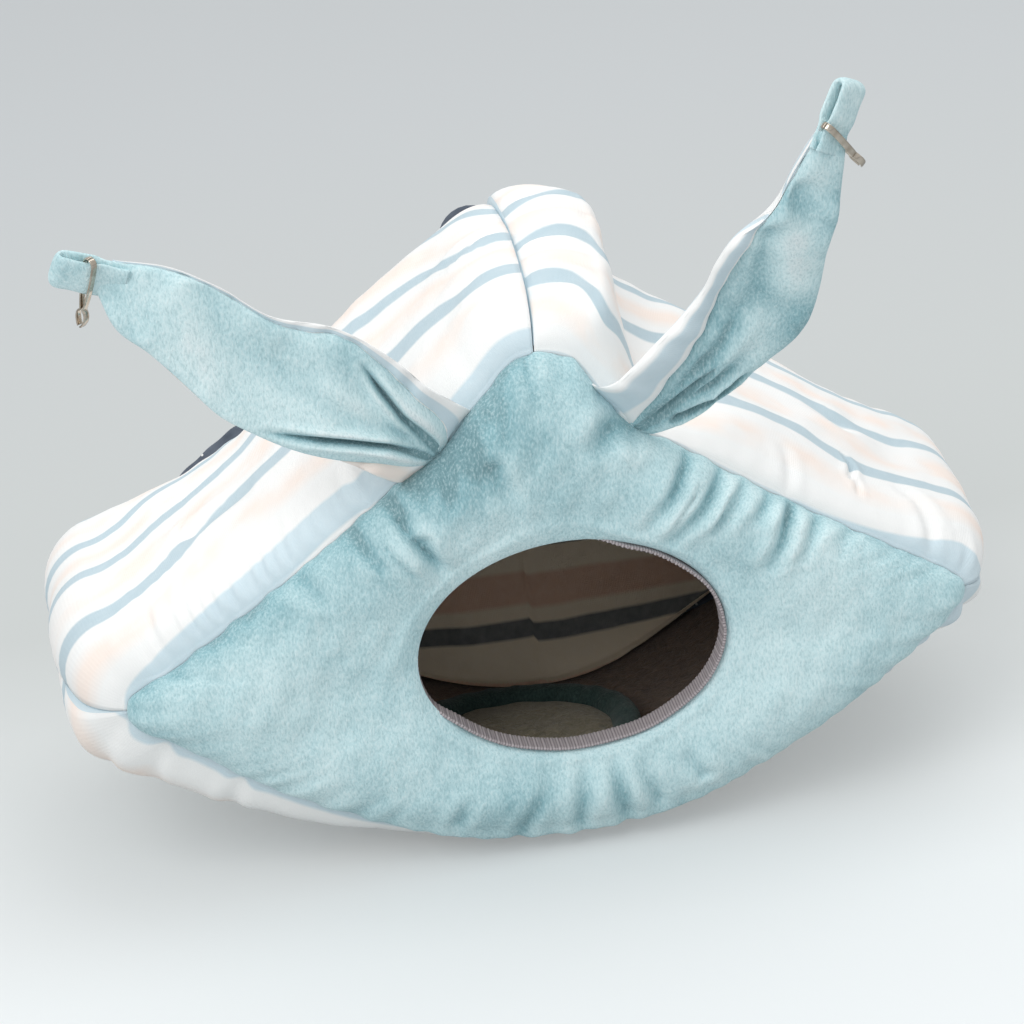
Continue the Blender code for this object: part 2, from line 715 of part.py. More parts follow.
def spring_clip(name, loop_pivot, slot_middle, strap_z, rock, hang):
    """A clip round one layer of a strap.

    hang is +1 or -1, the way across the strap that the clip's lips point. rock turns it in the strap's plane.
    """
    turned = Matrix.Rotation(math.radians(rock), 3, "Z")
    rock_pivot = pivot(f"{name}_rock", (slot_middle, 0, strap_z), turned, loop_pivot)
    top = -hang * (STRAP_HALF_WIDTH + CLIP_FOLD_CLEAR + CLIP_STRIP / 2)
    axes = Matrix(((0, -hang, 0), (hang, 0, 0), (0, 0, 1)))
    frame = pivot(f"{name}_frame", (0, top, 0), axes, rock_pivot)
    clip_leg(f"{name}_back_leg", -1, frame)
    clip_leg(f"{name}_spring_leg", 1, frame)


def straight(x):
    return 0.0


def arched(x):
    """The middle line of a rear loop, which stands out of its seam and then falls back."""
    return (x / REAR_LOOP_ARCH) ** 2 * REAR_LOOP_ARCH / 2


def ear_axes(side, rise, lean, roll):
    """An ear's frame: x outward and up by rise, leaning forward by lean, its face turned up by roll."""
    rise, lean, roll = map(math.radians, (rise, lean, roll))
    along = Vector((side * math.cos(rise) * math.cos(lean), -math.sin(lean), math.sin(rise) * math.cos(lean)))
    face = Vector((0, -1, 0)) - along * Vector((0, -1, 0)).dot(along)
    face.normalize()
    face.rotate(Matrix.Rotation(-side * roll, 3, along))
    across = face.cross(along)
    return Matrix((along, across, face)).transposed()


def ear(name, side, stance, loop_stance, clip_rock):
    """One ear with its root, strap loop and clip. side is -1 on the left and 1 on the right.

    stance and loop_stance are each a rise, a lean and a roll.
    """
    place, normal = outline_at(outline_point_at_x(side * EAR_SEAM_X))
    centre = place + normal * (ROOT_RADIUS + LAYER_GAP)
    root_place = (centre[0], FRONT_Y, centre[1])
    ear_root(name, root_place)
    axes = ear_axes(side, *stance)
    swing = pivot(f"{name}_swing", (centre[0], FRONT_Y - EAR_PLANE, centre[1]), axes)
    ear_layers(name, side, stance[1], swing)
    turned = axes.transposed() @ ear_axes(side, *loop_stance)
    root_half = STRAP + SLOT_GAP / 2 * SLOT_PINCH
    reach_back = STRAP_HALF_WIDTH * abs(turned[0][1]) + root_half * abs(turned[0][2])
    tip = pivot(f"{name}_tip", (EAR_LENGTH + LAYER_GAP + WALL_GAP + reach_back, 0, 0), turned, swing)
    strap_loop(f"{name}_loop", FRONT_LOOP_ROOT, FRONT_SLOT_LENGTH, straight, tip)
    slot_middle = FRONT_LOOP_ROOT + FRONT_CLIP_PLACE * FRONT_SLOT_LENGTH
    strap_z = SLOT_GAP / 2 + STRAP / 2
    hang = -side
    spring_clip(f"{name}_clip", tip, slot_middle, strap_z, clip_rock * hang, hang)


def rear_loop(name, side):
    """A strap loop sewn into the back seam, with its clip."""
    place, normal = outline_at(outline_point_at_x(side * REAR_SEAM_X))
    start = flared(place, BACK_Y) + normal * REAR_LOOP_STAND
    set_back = math.radians(REAR_LOOP_SET_BACK)
    outward = Vector((normal[0], 0, normal[1]))
    along = outward * math.cos(set_back) + Vector((0, math.sin(set_back), 0))
    across = Vector((normal[1], 0, -normal[0]))
    axes = Matrix((along, across, along.cross(across))).transposed()
    swing = pivot(f"{name}_swing", (start[0], BACK_Y + SEAM_WALL / 2, start[1]), axes)
    strap_loop(name, REAR_LOOP_ROOT, REAR_SLOT_LENGTH, arched, swing)
    slot_middle = REAR_LOOP_ROOT + REAR_CLIP_PLACE * REAR_SLOT_LENGTH
    slope = math.atan2(2 * arched(slot_middle), slot_middle)
    tip = pivot(f"{name}_tip", (slot_middle, 0, arched(slot_middle)), Matrix.Rotation(-slope, 3, "Y"), swing)
    spring_clip(f"{name}_clip", tip, 0, SLOT_GAP / 2 + STRAP / 2, 0, side)


def main():
    clear_scene()
    roof_and_base()
    front_panel()
    entrance_binding()
    back_panel()
    cushion_pivot = pivot("cushion_lift", (*CUSHION_CENTRE, floor_height(0.0)))
    floor_cushion(cushion_pivot)
    left_stance = (LEFT_EAR_RISE, LEFT_EAR_LEAN, LEFT_EAR_ROLL)
    right_stance = (RIGHT_EAR_RISE, RIGHT_EAR_LEAN, RIGHT_EAR_ROLL)
    left_loop_stance = (LEFT_LOOP_RISE, LEFT_LOOP_LEAN, LEFT_LOOP_ROLL)
    right_loop_stance = (RIGHT_LOOP_RISE, RIGHT_LOOP_LEAN, RIGHT_LOOP_ROLL)
    ear("left_ear", -1, left_stance, left_loop_stance, LEFT_CLIP_ROCK)
    ear("right_ear", 1, right_stance, right_loop_stance, RIGHT_CLIP_ROCK)
    rear_loop("left_rear_loop", -1)
    rear_loop("right_rear_loop", 1)
    bpy.context.view_layer.update()


main()
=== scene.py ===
"""The looks of a small hanging animal house: padded walls, two ears with clips, and its cushion."""

import math

import bmesh
import bpy
import numpy as np
from mathutils import Matrix, Vector


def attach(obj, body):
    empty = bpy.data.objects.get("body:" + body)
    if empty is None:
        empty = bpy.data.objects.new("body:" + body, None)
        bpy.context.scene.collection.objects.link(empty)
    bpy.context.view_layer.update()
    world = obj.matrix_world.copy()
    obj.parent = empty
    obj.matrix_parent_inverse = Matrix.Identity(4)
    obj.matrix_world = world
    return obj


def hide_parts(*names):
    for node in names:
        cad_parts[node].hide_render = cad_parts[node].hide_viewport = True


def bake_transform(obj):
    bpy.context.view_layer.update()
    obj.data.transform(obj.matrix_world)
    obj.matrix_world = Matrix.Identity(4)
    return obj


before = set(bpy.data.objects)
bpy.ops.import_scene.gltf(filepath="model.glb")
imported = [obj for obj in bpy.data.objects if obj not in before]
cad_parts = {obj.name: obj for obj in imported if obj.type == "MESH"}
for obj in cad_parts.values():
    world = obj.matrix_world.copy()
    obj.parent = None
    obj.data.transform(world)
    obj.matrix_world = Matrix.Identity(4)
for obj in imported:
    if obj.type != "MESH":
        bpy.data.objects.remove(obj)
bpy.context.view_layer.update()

# The house's walls, as the frame has them, in metres
SEAM_HALF_WIDTH = 0.169
CORNER_RISE = 0.0785
APEX_RISE = 0.2045
ROOF_SAG = 0.105
ROOF_SAG_POWER = 0.65
APEX_ROUNDING = 0.05
BASE_POWER = 2.1
CORNER_ROUNDING = 0.03
SEAM_DEPTH = 0.14
BACK_WIDENING = 0.07
BACK_RISING = 0.08
SEAM_WALL = 0.0042
EDGE_THICKNESS = 0.001
ROOF_PUFF = 0.014
RIDGE_PUFF = 0.024
BASE_PUFF = 0.009
LEFT_CORNER_PUFF = 0.026
RIGHT_CORNER_PUFF = 0.019
INNER_PUFF = 0.003
FRONT_PUFF = 0.01
FRONT_PUFF_AT_ENTRANCE = 0.003
FRONT_FULLEST_AT = 0.7
FROM_ENTRANCE_TO_SEAM = 0.06
FRONT_FOLD_STRENGTH = 1.35
BACK_PUFF = 0.012
PUFF_POWER = 4
RIDGE_POWER = 9
LINING = 0.001
SEAM_BOTTOM = 0.0085
FRONT_Y = -SEAM_DEPTH / 2
BACK_Y = SEAM_DEPTH / 2
LAYER_GAP = 0.0003
WALL_GAP = 0.0004
FRONT_EDGE = FRONT_Y + WALL_GAP / 2
BACK_EDGE = BACK_Y - WALL_GAP / 2
FRONT_FLAT = FRONT_Y - WALL_GAP / 2
BACK_FLAT = BACK_Y + WALL_GAP / 2
FINE_STEPS = 400

# How the sewn cloth strays from those even walls: rolls, hollows, shoulders and a wandering ridge
FRONT_DROOP = 0.0032
RIDGE_WANDER = 0.0053
RIDGE_BOW = 0.0022
RIGHT_VALLEY = 0.012
LEFT_RIDGE_SINK = 0.42
RIDGE_DIP = {"right": 0.4, "left": 0.22}
LEFT_CORNER_EXTRA = 0.0075
LEFT_BOLSTER = 0.0095
REST_LIFT = 0.0001
WALL_UNEVENNESS = [(0.0011, 0.055), (0.0004, 0.019)]
# Height of a roof's rolls and hollows, with their middle and reach down from the ridge, and then by y
ROOF_SWELLS = {
    "right": [
        (0.0088, 0.018, 0.016, 0.0, math.inf),
        (0.0075, 0.014, 0.014, 0.035, 0.035),
        (0.0055, 0.098, 0.044, 0.055, 0.036),
    ],
    "left": [
        (0.0065, 0.062, 0.042, 0.05, 0.036),
        (-0.0055, 0.135, 0.04, 0.06, 0.045),
    ],
}

# Height, distance from the middle and reach of what rises or sinks along the front seam
SEAM_RISES = [
    (-0.0042, -0.0385, 0.01),
    (-0.0042, 0.0385, 0.01),
    (0.0055, 0.0165, 0.0085),
    (0.0015, -0.011, 0.006),
]
RIDGE_START_SHIFT = 0.0026
LEFT_CORNER_SQUARING = 0.0045

# Entrance and its tape
ENTRANCE_HALF_WIDTH = 0.06
ENTRANCE_HALF_HEIGHT = 0.0435
ENTRANCE_OFFSET = 0.0065
ENTRANCE_RISE = 0.079
ENTRANCE_CENTRE = np.array([ENTRANCE_OFFSET, SEAM_BOTTOM + ENTRANCE_RISE])
ENTRANCE_PULL = 0.0024
LIP_TURN = math.radians(51)
LIP_OVERHANG = 0.0016
TAPE = 0.0014
TAPE_LAP = 0.001
TAPE_RECESS = 0.003
TAPE_SQUARENESS = 0.32
RIB_SPACING = 0.0019
RIB_DEPTH = 0.00016

# Floor cushion, with its middle and half its size in x and y
CUSHION_CENTRE = (-0.01, -0.025)
CUSHION_HALVES = (0.047, 0.042)
BORDER_WIDTH = 0.012
BORDER_HEIGHT = 0.0145
PAD_INSET = 0.0062
PAD_HEIGHT = 0.0105
PAD_CROWN = 0.0045

# Ears: stance is a rise, a lean and a roll in degrees
EAR_SEAM_X = 0.0375
EAR_LENGTH = 0.133
EAR_PLANE = 0.0105
ROOT_RADIUS = 0.005
EAR_STANCE = {"left": (37.5, 3.0, 4.0), "right": (58.5, 18.0, -26.0)}
LOOP_STANCE = {"left": (22.0, 3.0, 4.0), "right": (64.0, -5.0, -37.0)}
SIDE = {"left": -1, "right": 1}

# Strap loops
PLUSH_STRAP = 0.0028
PLUSH_SLOT = 0.0019
STRAP_TWIST = {"left": -26.0, "right": 0.0}
STRAP = 0.002
STRAP_HALF_WIDTH = 0.0072
SLOT_GAP = 0.0034
SLOT_OPENS_IN = 0.003
SLOT_PINCH = 0.12
FRONT_LOOP_ROOT = 0.003
FRONT_SLOT_LENGTH = 0.0155
REAR_LOOP_ROOT = 0.014
REAR_SLOT_LENGTH = 0.0195
REAR_SEAM_X = 0.05
REAR_LOOP_STAND = 0.0034
REAR_LOOP_ARCH = 0.03
REAR_LOOP_SET_BACK = 90.0

# Clips
CLIP_LENGTH = 0.031
CLIP_WIDTH = 0.0026
CLIP_STRIP = 0.0008
CLIP_FOLD_HALF = 0.0024
CLIP_NECK_HALF = 0.0006
CLIP_LIP_HALF = 0.0022
CLIP_NECK_AT = 0.74
CLIP_SPLIT = 0.0002
CLIP_FOLD_CLEAR = 0.0017
CLIP_ROCK = {"left_ear_clip": 8.0, "right_ear_clip": 19.0}
CLIP_SKEW = {"left_ear_clip": 40.0, "right_ear_clip": -6.0}
FRONT_CLIP_PLACE = {"left": 0.3, "right": -0.16}
REAR_CLIP_PLACE = 0.36

# Gathers, folds and creases of the walls: depth, width, and a line of distance down from the ridge by y
ROOF_FOLDS = {
    "right": [
        (0.0024, 0.003, [(0.186, -0.07), (0.176, -0.05), (0.166, -0.042)]),
        (0.0016, 0.0026, [(0.12, -0.07), (0.116, -0.048)]),
        (0.003, 0.0026, [(0.199, -0.07), (0.193, -0.06)]),
        (0.0026, 0.0022, [(0.193, -0.07), (0.188, -0.061)]),
        (0.002, 0.005, [(0.15, 0.0), (0.136, 0.01)]),
    ],
    "left": [
        (0.0046, 0.0044, [(0.06, -0.07), (0.052, -0.05), (0.05, -0.03)]),
        (0.003, 0.003, [(0.084, -0.07), (0.08, -0.05)]),
        (0.0022, 0.005, [(0.15, -0.02), (0.12, -0.015)]),
        (0.003, 0.0036, [(0.186, -0.07), (0.176, -0.05)]),
    ],
}
ROOF_CREASES = {
    "right": [
        (0.0024, 0.0011, [(0.1465, -0.052), (0.1485, -0.042), (0.144, -0.033)]),
        (0.0012, 0.0011, [(0.15, -0.06), (0.149, -0.046)]),
        (0.0014, 0.001, [(0.01, -0.012), (0.002, -0.018)]),
        (0.0014, 0.001, [(0.012, 0.01), (0.002, 0.006)]),
    ],
    "left": [
        (0.0024, 0.001, [(0.056, -0.066), (0.05, -0.046), (0.049, -0.024)]),
        (0.0014, 0.001, [(0.156, -0.014), (0.149, -0.004)]),
        (0.0014, 0.0009, [(0.002, -0.02), (0.01, -0.026)]),
        (0.0014, 0.0009, [(0.002, 0.004), (0.012, -0.002)]),
    ],
}
BASE_FOLDS = [
    (0.003, 0.003, [(0.004, -0.07), (0.014, -0.052), (0.022, -0.046)]),
    (0.0024, 0.0026, [(0.02, -0.07), (0.03, -0.056)]),
    (0.002, 0.003, [(0.052, -0.07), (0.06, -0.054)]),
]
# How far down a roof its gathers lie, how far they reach, and how high they stand
SEAM_GATHERS = {
    "right": [(0.2, 0.008, 0.0014)],
    "left": [(0.158, 0.028, 0.0046), (0.105, 0.016, 0.0008)],
}
# How high the small gathers at the front seam stand on the left roof, the base and the right roof
PUCKERS = {-1: 0.0008, 0: 0.0002, 1: 0.0003}
# How far a wall's edge turns in over the front panel's seam
SEAM_TUCK = 0.0006

# The roofs' run of cloth from front to back
ROOF_LENGTH = 0.156
# Where the base's print starts, and how much earlier it starts at the right corner
BASE_PRINT_START = 0.0085
BASE_PRINT_CORNER = 0.0095
SEAM_CLOTH_PULL = 0.79
# The printed places of the pale band's far edge and of three stripes
PRINT_MARKS = (0.012, 0.055, 0.0922, 0.127)
# A distance down a roof from its ridge, and the runs from the front seam at which those four lie there
PRINT_RUNS = {
    -1: [
        (0.0, 0.0095, 0.049, 0.0775, 0.115),
        (0.006, 0.009, 0.048, 0.0785, 0.124),
        (0.022, 0.0085, 0.0555, 0.096, 0.136),
        (0.06, 0.01, 0.068, 0.109, 0.146),
        (0.102, 0.0154, 0.0743, 0.118, 0.15),
        (0.129, 0.013, 0.0645, 0.11, 0.142),
        (0.158, 0.0107, 0.0485, 0.0905, 0.122),
        (0.188, 0.006, 0.033, 0.0655, 0.094),
        (0.203, 0.0, 0.036, 0.07, 0.1),
    ],
    1: [
        (0.0, 0.0, 0.037, 0.069, 0.103),
        (0.007, 0.0, 0.0335, 0.0735, 0.109),
        (0.014, 0.0, 0.024, 0.069, 0.112),
        (0.022, 0.0, 0.019, 0.062, 0.113),
        (0.031, 0.0, 0.024, 0.068, 0.115),
        (0.055, 0.0, 0.04, 0.088, 0.123),
        (0.097, 0.0, 0.048, 0.096, 0.125),
        (0.122, 0.0005, 0.0476, 0.092, 0.12),
        (0.148, 0.0015, 0.0368, 0.087, 0.118),
        (0.175, 0.006, 0.0417, 0.086, 0.122),
        (0.196, 0.0125, 0.0471, 0.095, 0.128),
    ],
}

# Folds and creases of the front panel: depth, width, and a line of x by height
FRONT_CREASES = [
    (0.0022, 0.0011, [(-0.056, 0.152), (-0.05, 0.142), (-0.04, 0.129)]),
    (0.0016, 0.0011, [(-0.062, 0.143), (-0.056, 0.134), (-0.05, 0.126)]),
    (0.0018, 0.0009, [(0.06, 0.15), (0.05, 0.137), (0.046, 0.129)]),
    (0.0018, 0.0009, [(0.072, 0.143), (0.062, 0.129)]),
]
FRONT_FOLDS = [
    (0.0034, 0.0026, [(0.057, 0.16), (0.048, 0.145), (0.037, 0.131)]),
    (0.0035, 0.0027, [(0.07, 0.152), (0.059, 0.138), (0.044, 0.124)]),
    (0.0028, 0.0024, [(0.079, 0.147), (0.062, 0.127)]),
    (0.003, 0.0026, [(0.088, 0.139), (0.079, 0.13)]),
    (0.0036, 0.003, [(0.095, 0.133), (0.089, 0.12), (0.083, 0.109)]),
    (0.003, 0.0026, [(0.107, 0.127), (0.1, 0.119), (0.095, 0.111)]),
    (0.0018, 0.0026, [(0.118, 0.119), (0.11, 0.11)]),
    (0.004, 0.0048, [(0.036, 0.175), (0.027, 0.176), (0.018, 0.166)]),
    (0.0018, 0.0046, [(-0.032, 0.178), (-0.022, 0.166), (-0.016, 0.152)]),
    (0.0026, 0.0032, [(-0.057, 0.158), (-0.049, 0.141), (-0.041, 0.126)]),
    (0.002, 0.0028, [(-0.047, 0.142), (-0.039, 0.125)]),
    (0.0022, 0.003, [(-0.036, 0.17), (-0.034, 0.152)]),
    (0.0012, 0.003, [(-0.017, 0.168), (-0.009, 0.142)]),
    (0.0022, 0.003, [(-0.072, 0.147), (-0.062, 0.132)]),
    (0.0018, 0.003, [(-0.094, 0.132), (-0.084, 0.12)]),
    (0.0022, 0.0034, [(0.002, 0.014), (0.008, 0.044)]),
    (0.0016, 0.003, [(-0.022, 0.012), (-0.008, 0.034)]),
    (0.0022, 0.0032, [(0.02, 0.014), (0.016, 0.042)]),
    (0.0016, 0.003, [(0.034, 0.018), (0.026, 0.04)]),
    (0.0016, 0.003, [(0.052, 0.027), (0.045, 0.038)]),
    (0.0016, 0.003, [(-0.046, 0.022), (-0.04, 0.034)]),
]

# Where the front panel's colour is darkened: amount, reach, and the middle of the patch. The first is painted
# shadow below the left ear's root.
FRONT_DARK_PATCHES = [
    (0.3, 0.02, (-0.03, 0.168)),
    (0.14, 0.022, (0.012, 0.185)),
    (0.1, 0.03, (-0.09, 0.06)),
]

# Back panel: how far it stands over the roofs' seam, its loose lining and its folds
BACK_CENTRE = np.array([0.0, SEAM_BOTTOM + CORNER_RISE])
BACK_OVERHANG = 0.001
RIDGE_OVERHANG = 0.0195
LEFT_OVERHANG = 0.0085
LOOSE_HEM = 0.012
LOOSE_REACH = 0.05
LOOSE_HALF_WIDTH = 0.105
LOOSE_FORWARD = 0.033
BACK_FOLDS = [
    (0.003, 0.0045, [(0.06, 0.17), (0.04, 0.14)]),
    (0.003, 0.0045, [(-0.058, 0.172), (-0.044, 0.142)]),
    (0.0026, 0.005, [(0.12, 0.125), (0.09, 0.11)]),
    (0.0026, 0.005, [(-0.124, 0.122), (-0.096, 0.108)]),
    (0.0024, 0.0045, [(0.02, 0.02), (0.012, 0.046)]),
    (0.0024, 0.0045, [(-0.03, 0.02), (-0.022, 0.044)]),
    (0.0024, 0.0045, [(0.07, 0.036), (0.058, 0.058)]),
    (0.0024, 0.0045, [(-0.082, 0.04), (-0.066, 0.06)]),
]

# An ear's edges: distance along it from its bend, and distance from its middle line
EAR_EDGES = {
    "left": {
        "back_upper": [(-0.004, 0.0175), (0.01, 0.0185), (0.028, 0.0225), (0.056, 0.0232), (0.079, 0.016),
                       (0.101, 0.0167), (0.12, 0.0142), (0.137, 0.007)],
        "face_upper": [(-0.004, 0.002), (0.006, 0.0098), (0.018, 0.0146), (0.0325, 0.0188), (0.054, 0.0212),
                       (0.066, 0.0164), (0.076, 0.0144), (0.0915, 0.015), (0.1065, 0.0152), (0.1215, 0.0126),
                       (0.137, 0.0064)],
        "face_lower": [(-0.004, 0.004), (0.006, 0.0113), (0.027, 0.0195), (0.046, 0.0243), (0.0605, 0.0256),
                       (0.077, 0.0252), (0.09, 0.0218), (0.11, 0.0168), (0.126, 0.0142), (0.137, 0.0064)],
        "back_lower": [(-0.004, 0.0185), (0.006, 0.0198), (0.0147, 0.0196), (0.0274, 0.02), (0.046, 0.0236),
                       (0.0605, 0.025), (0.077, 0.0246), (0.11, 0.0162), (0.137, 0.0058)],
    },
    "right": {
        "back_upper": [(-0.004, 0.019), (0.0085, 0.0225), (0.026, 0.0212), (0.048, 0.0128), (0.06, 0.0108),
                       (0.075, 0.0142), (0.087, 0.0136), (0.097, 0.008), (0.121, 0.0076), (0.137, 0.0068)],
        "face_upper": [(-0.004, 0.0015), (0.011, 0.001), (0.032, 0.0008), (0.052, 0.0014), (0.076, 0.005),
                       (0.091, 0.0064), (0.122, 0.0062), (0.137, 0.006)],
        "face_lower": [(-0.004, 0.005), (0.006, 0.016), (0.023, 0.025), (0.036, 0.0296), (0.047, 0.0335),
                       (0.065, 0.033), (0.079, 0.029), (0.097, 0.02), (0.113, 0.015), (0.137, 0.0066)],
        "back_lower": [(-0.004, 0.0052), (0.006, 0.015), (0.023, 0.024), (0.036, 0.0288), (0.047, 0.0325),
                       (0.065, 0.0322), (0.079, 0.0282), (0.097, 0.0194), (0.113, 0.0144), (0.137, 0.006)],
    },
}
EAR_START = -0.004
EAR_END = 0.1375
EAR_SEWN_REACH = 0.02
EAR_THICKNESS = 0.0056
# How far each ear's two edges stand forward of its middle
EAR_CUP = {"left": (0.006, 0.005), "right": (0.003, 0.008)}
EAR_FOLDS = {
    "left": [
        (0.003, 0.004, [(0.004, 0.0), (0.026, 0.004), (0.05, 0.011)]),
        (0.003, 0.004, [(0.004, -0.002), (0.03, -0.004), (0.056, -0.003)]),
        (0.002, 0.006, [(0.104, 0.015), (0.092, 0.004), (0.076, -0.004)]),
        (0.0016, 0.005, [(0.07, 0.016), (0.064, 0.006)]),
    ],
    "right": [
        (0.0036, 0.0034, [(-0.003, -0.001), (0.02, -0.0045), (0.05, -0.008), (0.07, -0.006)]),
        (0.0034, 0.0034, [(0.002, -0.005), (0.024, -0.014), (0.046, -0.02)]),
        (0.003, 0.005, [(0.094, 0.004), (0.074, -0.006), (0.056, -0.016)]),
        (0.0024, 0.005, [(0.112, 0.003), (0.1, -0.008)]),
    ],
}
EAR_CREASES = {
    "left": [
        (0.0064, 0.0011, [(-0.004, -0.0012), (0.0153, 0.005), (0.03, 0.0112), (0.0425, 0.0172)]),
        (0.0056, 0.0011, [(-0.004, -0.0018), (0.014, -0.007), (0.031, -0.0128), (0.048, -0.0195),
                          (0.062, -0.0245)]),
    ],
    "right": [
        (0.0064, 0.0011, [(0.008, -0.011), (0.0166, -0.019), (0.0273, -0.0225), (0.033, -0.025)]),
        (0.003, 0.0009, [(-0.002, -0.002), (0.016, -0.0075), (0.034, -0.011)]),
    ],
}
# Painted highlights and painted shade on an ear's plush: amount, reach, and the middle of the patch
EAR_LIGHT_AND_SHADE = {
    "left": [(0.16, 0.03, (0.095, -0.004)), (0.12, 0.022, (0.03, -0.005)), (-0.16, 0.01, (0.046, 0.016))],
    "right": [(-0.3, 0.2, (0.06, 0.0)), (0.62, 0.013, (0.09, -0.01)), (0.44, 0.009, (0.077, -0.018)),
              (0.26, 0.012, (0.122, 0.002)), (0.34, 0.009, (0.056, -0.016)), (0.3, 0.008, (0.044, -0.02))],
}

# How the pile's fibres lean
PILE_TURN = (0.0, math.radians(24), 0.0)
# Bands with softer edges than this are washed on unevenly
CLOUDY_EDGE = 0.003
# The share of the floor's brightness that the camera sees without light on it, as under a white backdrop
FLOOR_GLOW = 0.32

# Camera
CAMERA_AZIMUTH = -6.0
CAMERA_ELEVATION = 23.0
CAMERA_ROLL = -5.9
CAMERA_DISTANCE = 1.3
CAMERA_TARGET = (-0.0041, 0.0, 0.1145)
FOCAL_PIXELS = 3220
IMAGE_PIXELS = 1024
SENSOR_MM = 36.0


def srgb(red, green, blue):
    """A colour given as 0 to 255 in sRGB, as linear values with alpha."""
    values = []
    for part in (red, green, blue):
        part = part / 255
        values.append(part / 12.92 if part <= 0.04045 else ((part + 0.055) / 1.055) ** 2.4)
    return (*values, 1.0)


WHITE = srgb(244, 245, 244)
BLUSH = srgb(248, 235, 226)
PALE_BLUE = srgb(206, 224, 232)
STRIPE_BLUE = srgb(186, 206, 215)


# Shape maths

def bump(distance, width):
    return np.exp(-((distance / width) ** 2))


def ease(share):
    return share * share * (3 - 2 * share)


def unit(vectors):
    return vectors / np.linalg.norm(vectors, axis=-1, keepdims=True)


def squarish(wave, power):
    """A sine or cosine drawn towards a square wave."""
    return np.sign(wave) * np.abs(wave) ** power


def run_length(path):
    """Distance along a path of points, from 0 at its first."""
    steps = np.linalg.norm(np.diff(path, axis=0), axis=1)
    return np.concatenate([[0], np.cumsum(steps)])


def stacked(*coordinates):
    """Points, or texture coordinates, from grids or numbers for each of their coordinates."""
    return np.stack(np.broadcast_arrays(*coordinates), axis=-1)


def between(inner, outer, shares):
    """x and z of points from an inner loop to an outer one."""
    return [inner[:, k : k + 1] + (outer[:, k : k + 1] - inner[:, k : k + 1]) * shares for k in (0, 1)]


def roof_height(x):
    t = np.abs(x) / SEAM_HALF_WIDTH
    rounded = np.sqrt(t * t + APEX_ROUNDING**2) - APEX_ROUNDING
    slope = rounded / (math.sqrt(1 + APEX_ROUNDING**2) - APEX_ROUNDING)
    fall = slope + ROOF_SAG * np.sin(math.pi * t**ROOF_SAG_POWER)
    return APEX_RISE - (APEX_RISE - CORNER_RISE) * fall


def base_height(x):
    return CORNER_RISE * (np.abs(x) / SEAM_HALF_WIDTH) ** BASE_POWER


def fine_outline():
    """The seam's outline as many points, clockwise from the apex, with its corners rounded."""
    across = np.linspace(0, SEAM_HALF_WIDTH, FINE_STEPS)
    roof = stacked(across, roof_height(across))
    under = stacked(across[::-1], base_height(across[::-1]))
    right = np.concatenate([roof, under[1:]])
    left = right[::-1][1:-1] * (-1, 1)
    sharp = np.concatenate([right, left])
    closed = np.concatenate([sharp, sharp[:1]])
    along = run_length(closed)
    even = np.linspace(0, along[-1], 4 * FINE_STEPS, endpoint=False)
    points = np.stack([np.interp(even, along, closed[:, k]) for k in (0, 1)], axis=1)
    window = max(1, round(CORNER_ROUNDING / (even[1] - even[0]) / 2))
    smooth = sum(np.roll(points, k, axis=0) for k in range(-window, window + 1)) / (2 * window + 1)
    return smooth + (0, SEAM_BOTTOM - smooth[:, 1].min())


OUTLINE = fine_outline()
CLOSED_OUTLINE = np.concatenate([OUTLINE, OUTLINE[:1]])
OUTLINE_ALONG = run_length(CLOSED_OUTLINE)
OUTLINE_LENGTH = OUTLINE_ALONG[-1]
CORNER_ALONG = OUTLINE_ALONG[int(np.argmax(OUTLINE[:, 0]))]


def outline_at(along):
    """Point and outward normal of the seam's outline, at distances clockwise from the apex."""
    along = np.asarray(along, float)
    tangent_reach = 0.001

    def point(distance):
        wrapped = np.mod(distance, OUTLINE_LENGTH)
        return np.stack([np.interp(wrapped, OUTLINE_ALONG, CLOSED_OUTLINE[:, k]) for k in (0, 1)], axis=-1)

    tangent = unit(point(along + tangent_reach) - point(along - tangent_reach))
    normal = stacked(-tangent[..., 1], tangent[..., 0])
    return point(along), normal


def down_from_ridge(along):
    """Distances along the outline as distances down either roof, in a column."""
    return np.minimum(along, OUTLINE_LENGTH - along)[:, None]


def outline_point_at_x(x):
    ahead = OUTLINE[: int(np.argmax(OUTLINE[:, 0]))]
    along = np.interp(abs(x), ahead[:, 0], OUTLINE_ALONG[: len(ahead)])
    return along if x > 0 else OUTLINE_LENGTH - along


def settle(place):
    """How the front seam's outline sinks at the ears' roots and squares off at the apex."""
    x = place[..., 0]
    on_roof = np.clip((place[..., 1] - 0.12) / 0.03, 0, 1)
    shift = np.zeros_like(place)
    shift[..., 1] = on_roof * sum(height * bump(x - middle, reach) for height, middle, reach in SEAM_RISES)
    at_corner = bump(x + SEAM_HALF_WIDTH - 0.008, 0.01)
    shift[..., 0] = RIDGE_START_SHIFT * bump(x, 0.025) * on_roof - LEFT_CORNER_SQUARING * at_corner
    return shift


def ridge_shift(place, share):
    """How far right the ridge wanders, at places on the outline and a share of the way to the back."""
    above = place[..., 1:] > SEAM_BOTTOM + CORNER_RISE
    wander = RIDGE_WANDER * share**0.5 + RIDGE_BOW * np.sin(math.pi * share)
    return wander * bump(place[..., :1], 0.03) * above


def puff_profile(share):
    return np.sqrt(np.clip(1 - np.abs(share) ** PUFF_POWER, 0, 1))


def clustered(start, end, steps):
    return start + (end - start) * (1 - np.cos(np.linspace(0, math.pi, steps + 1))) / 2


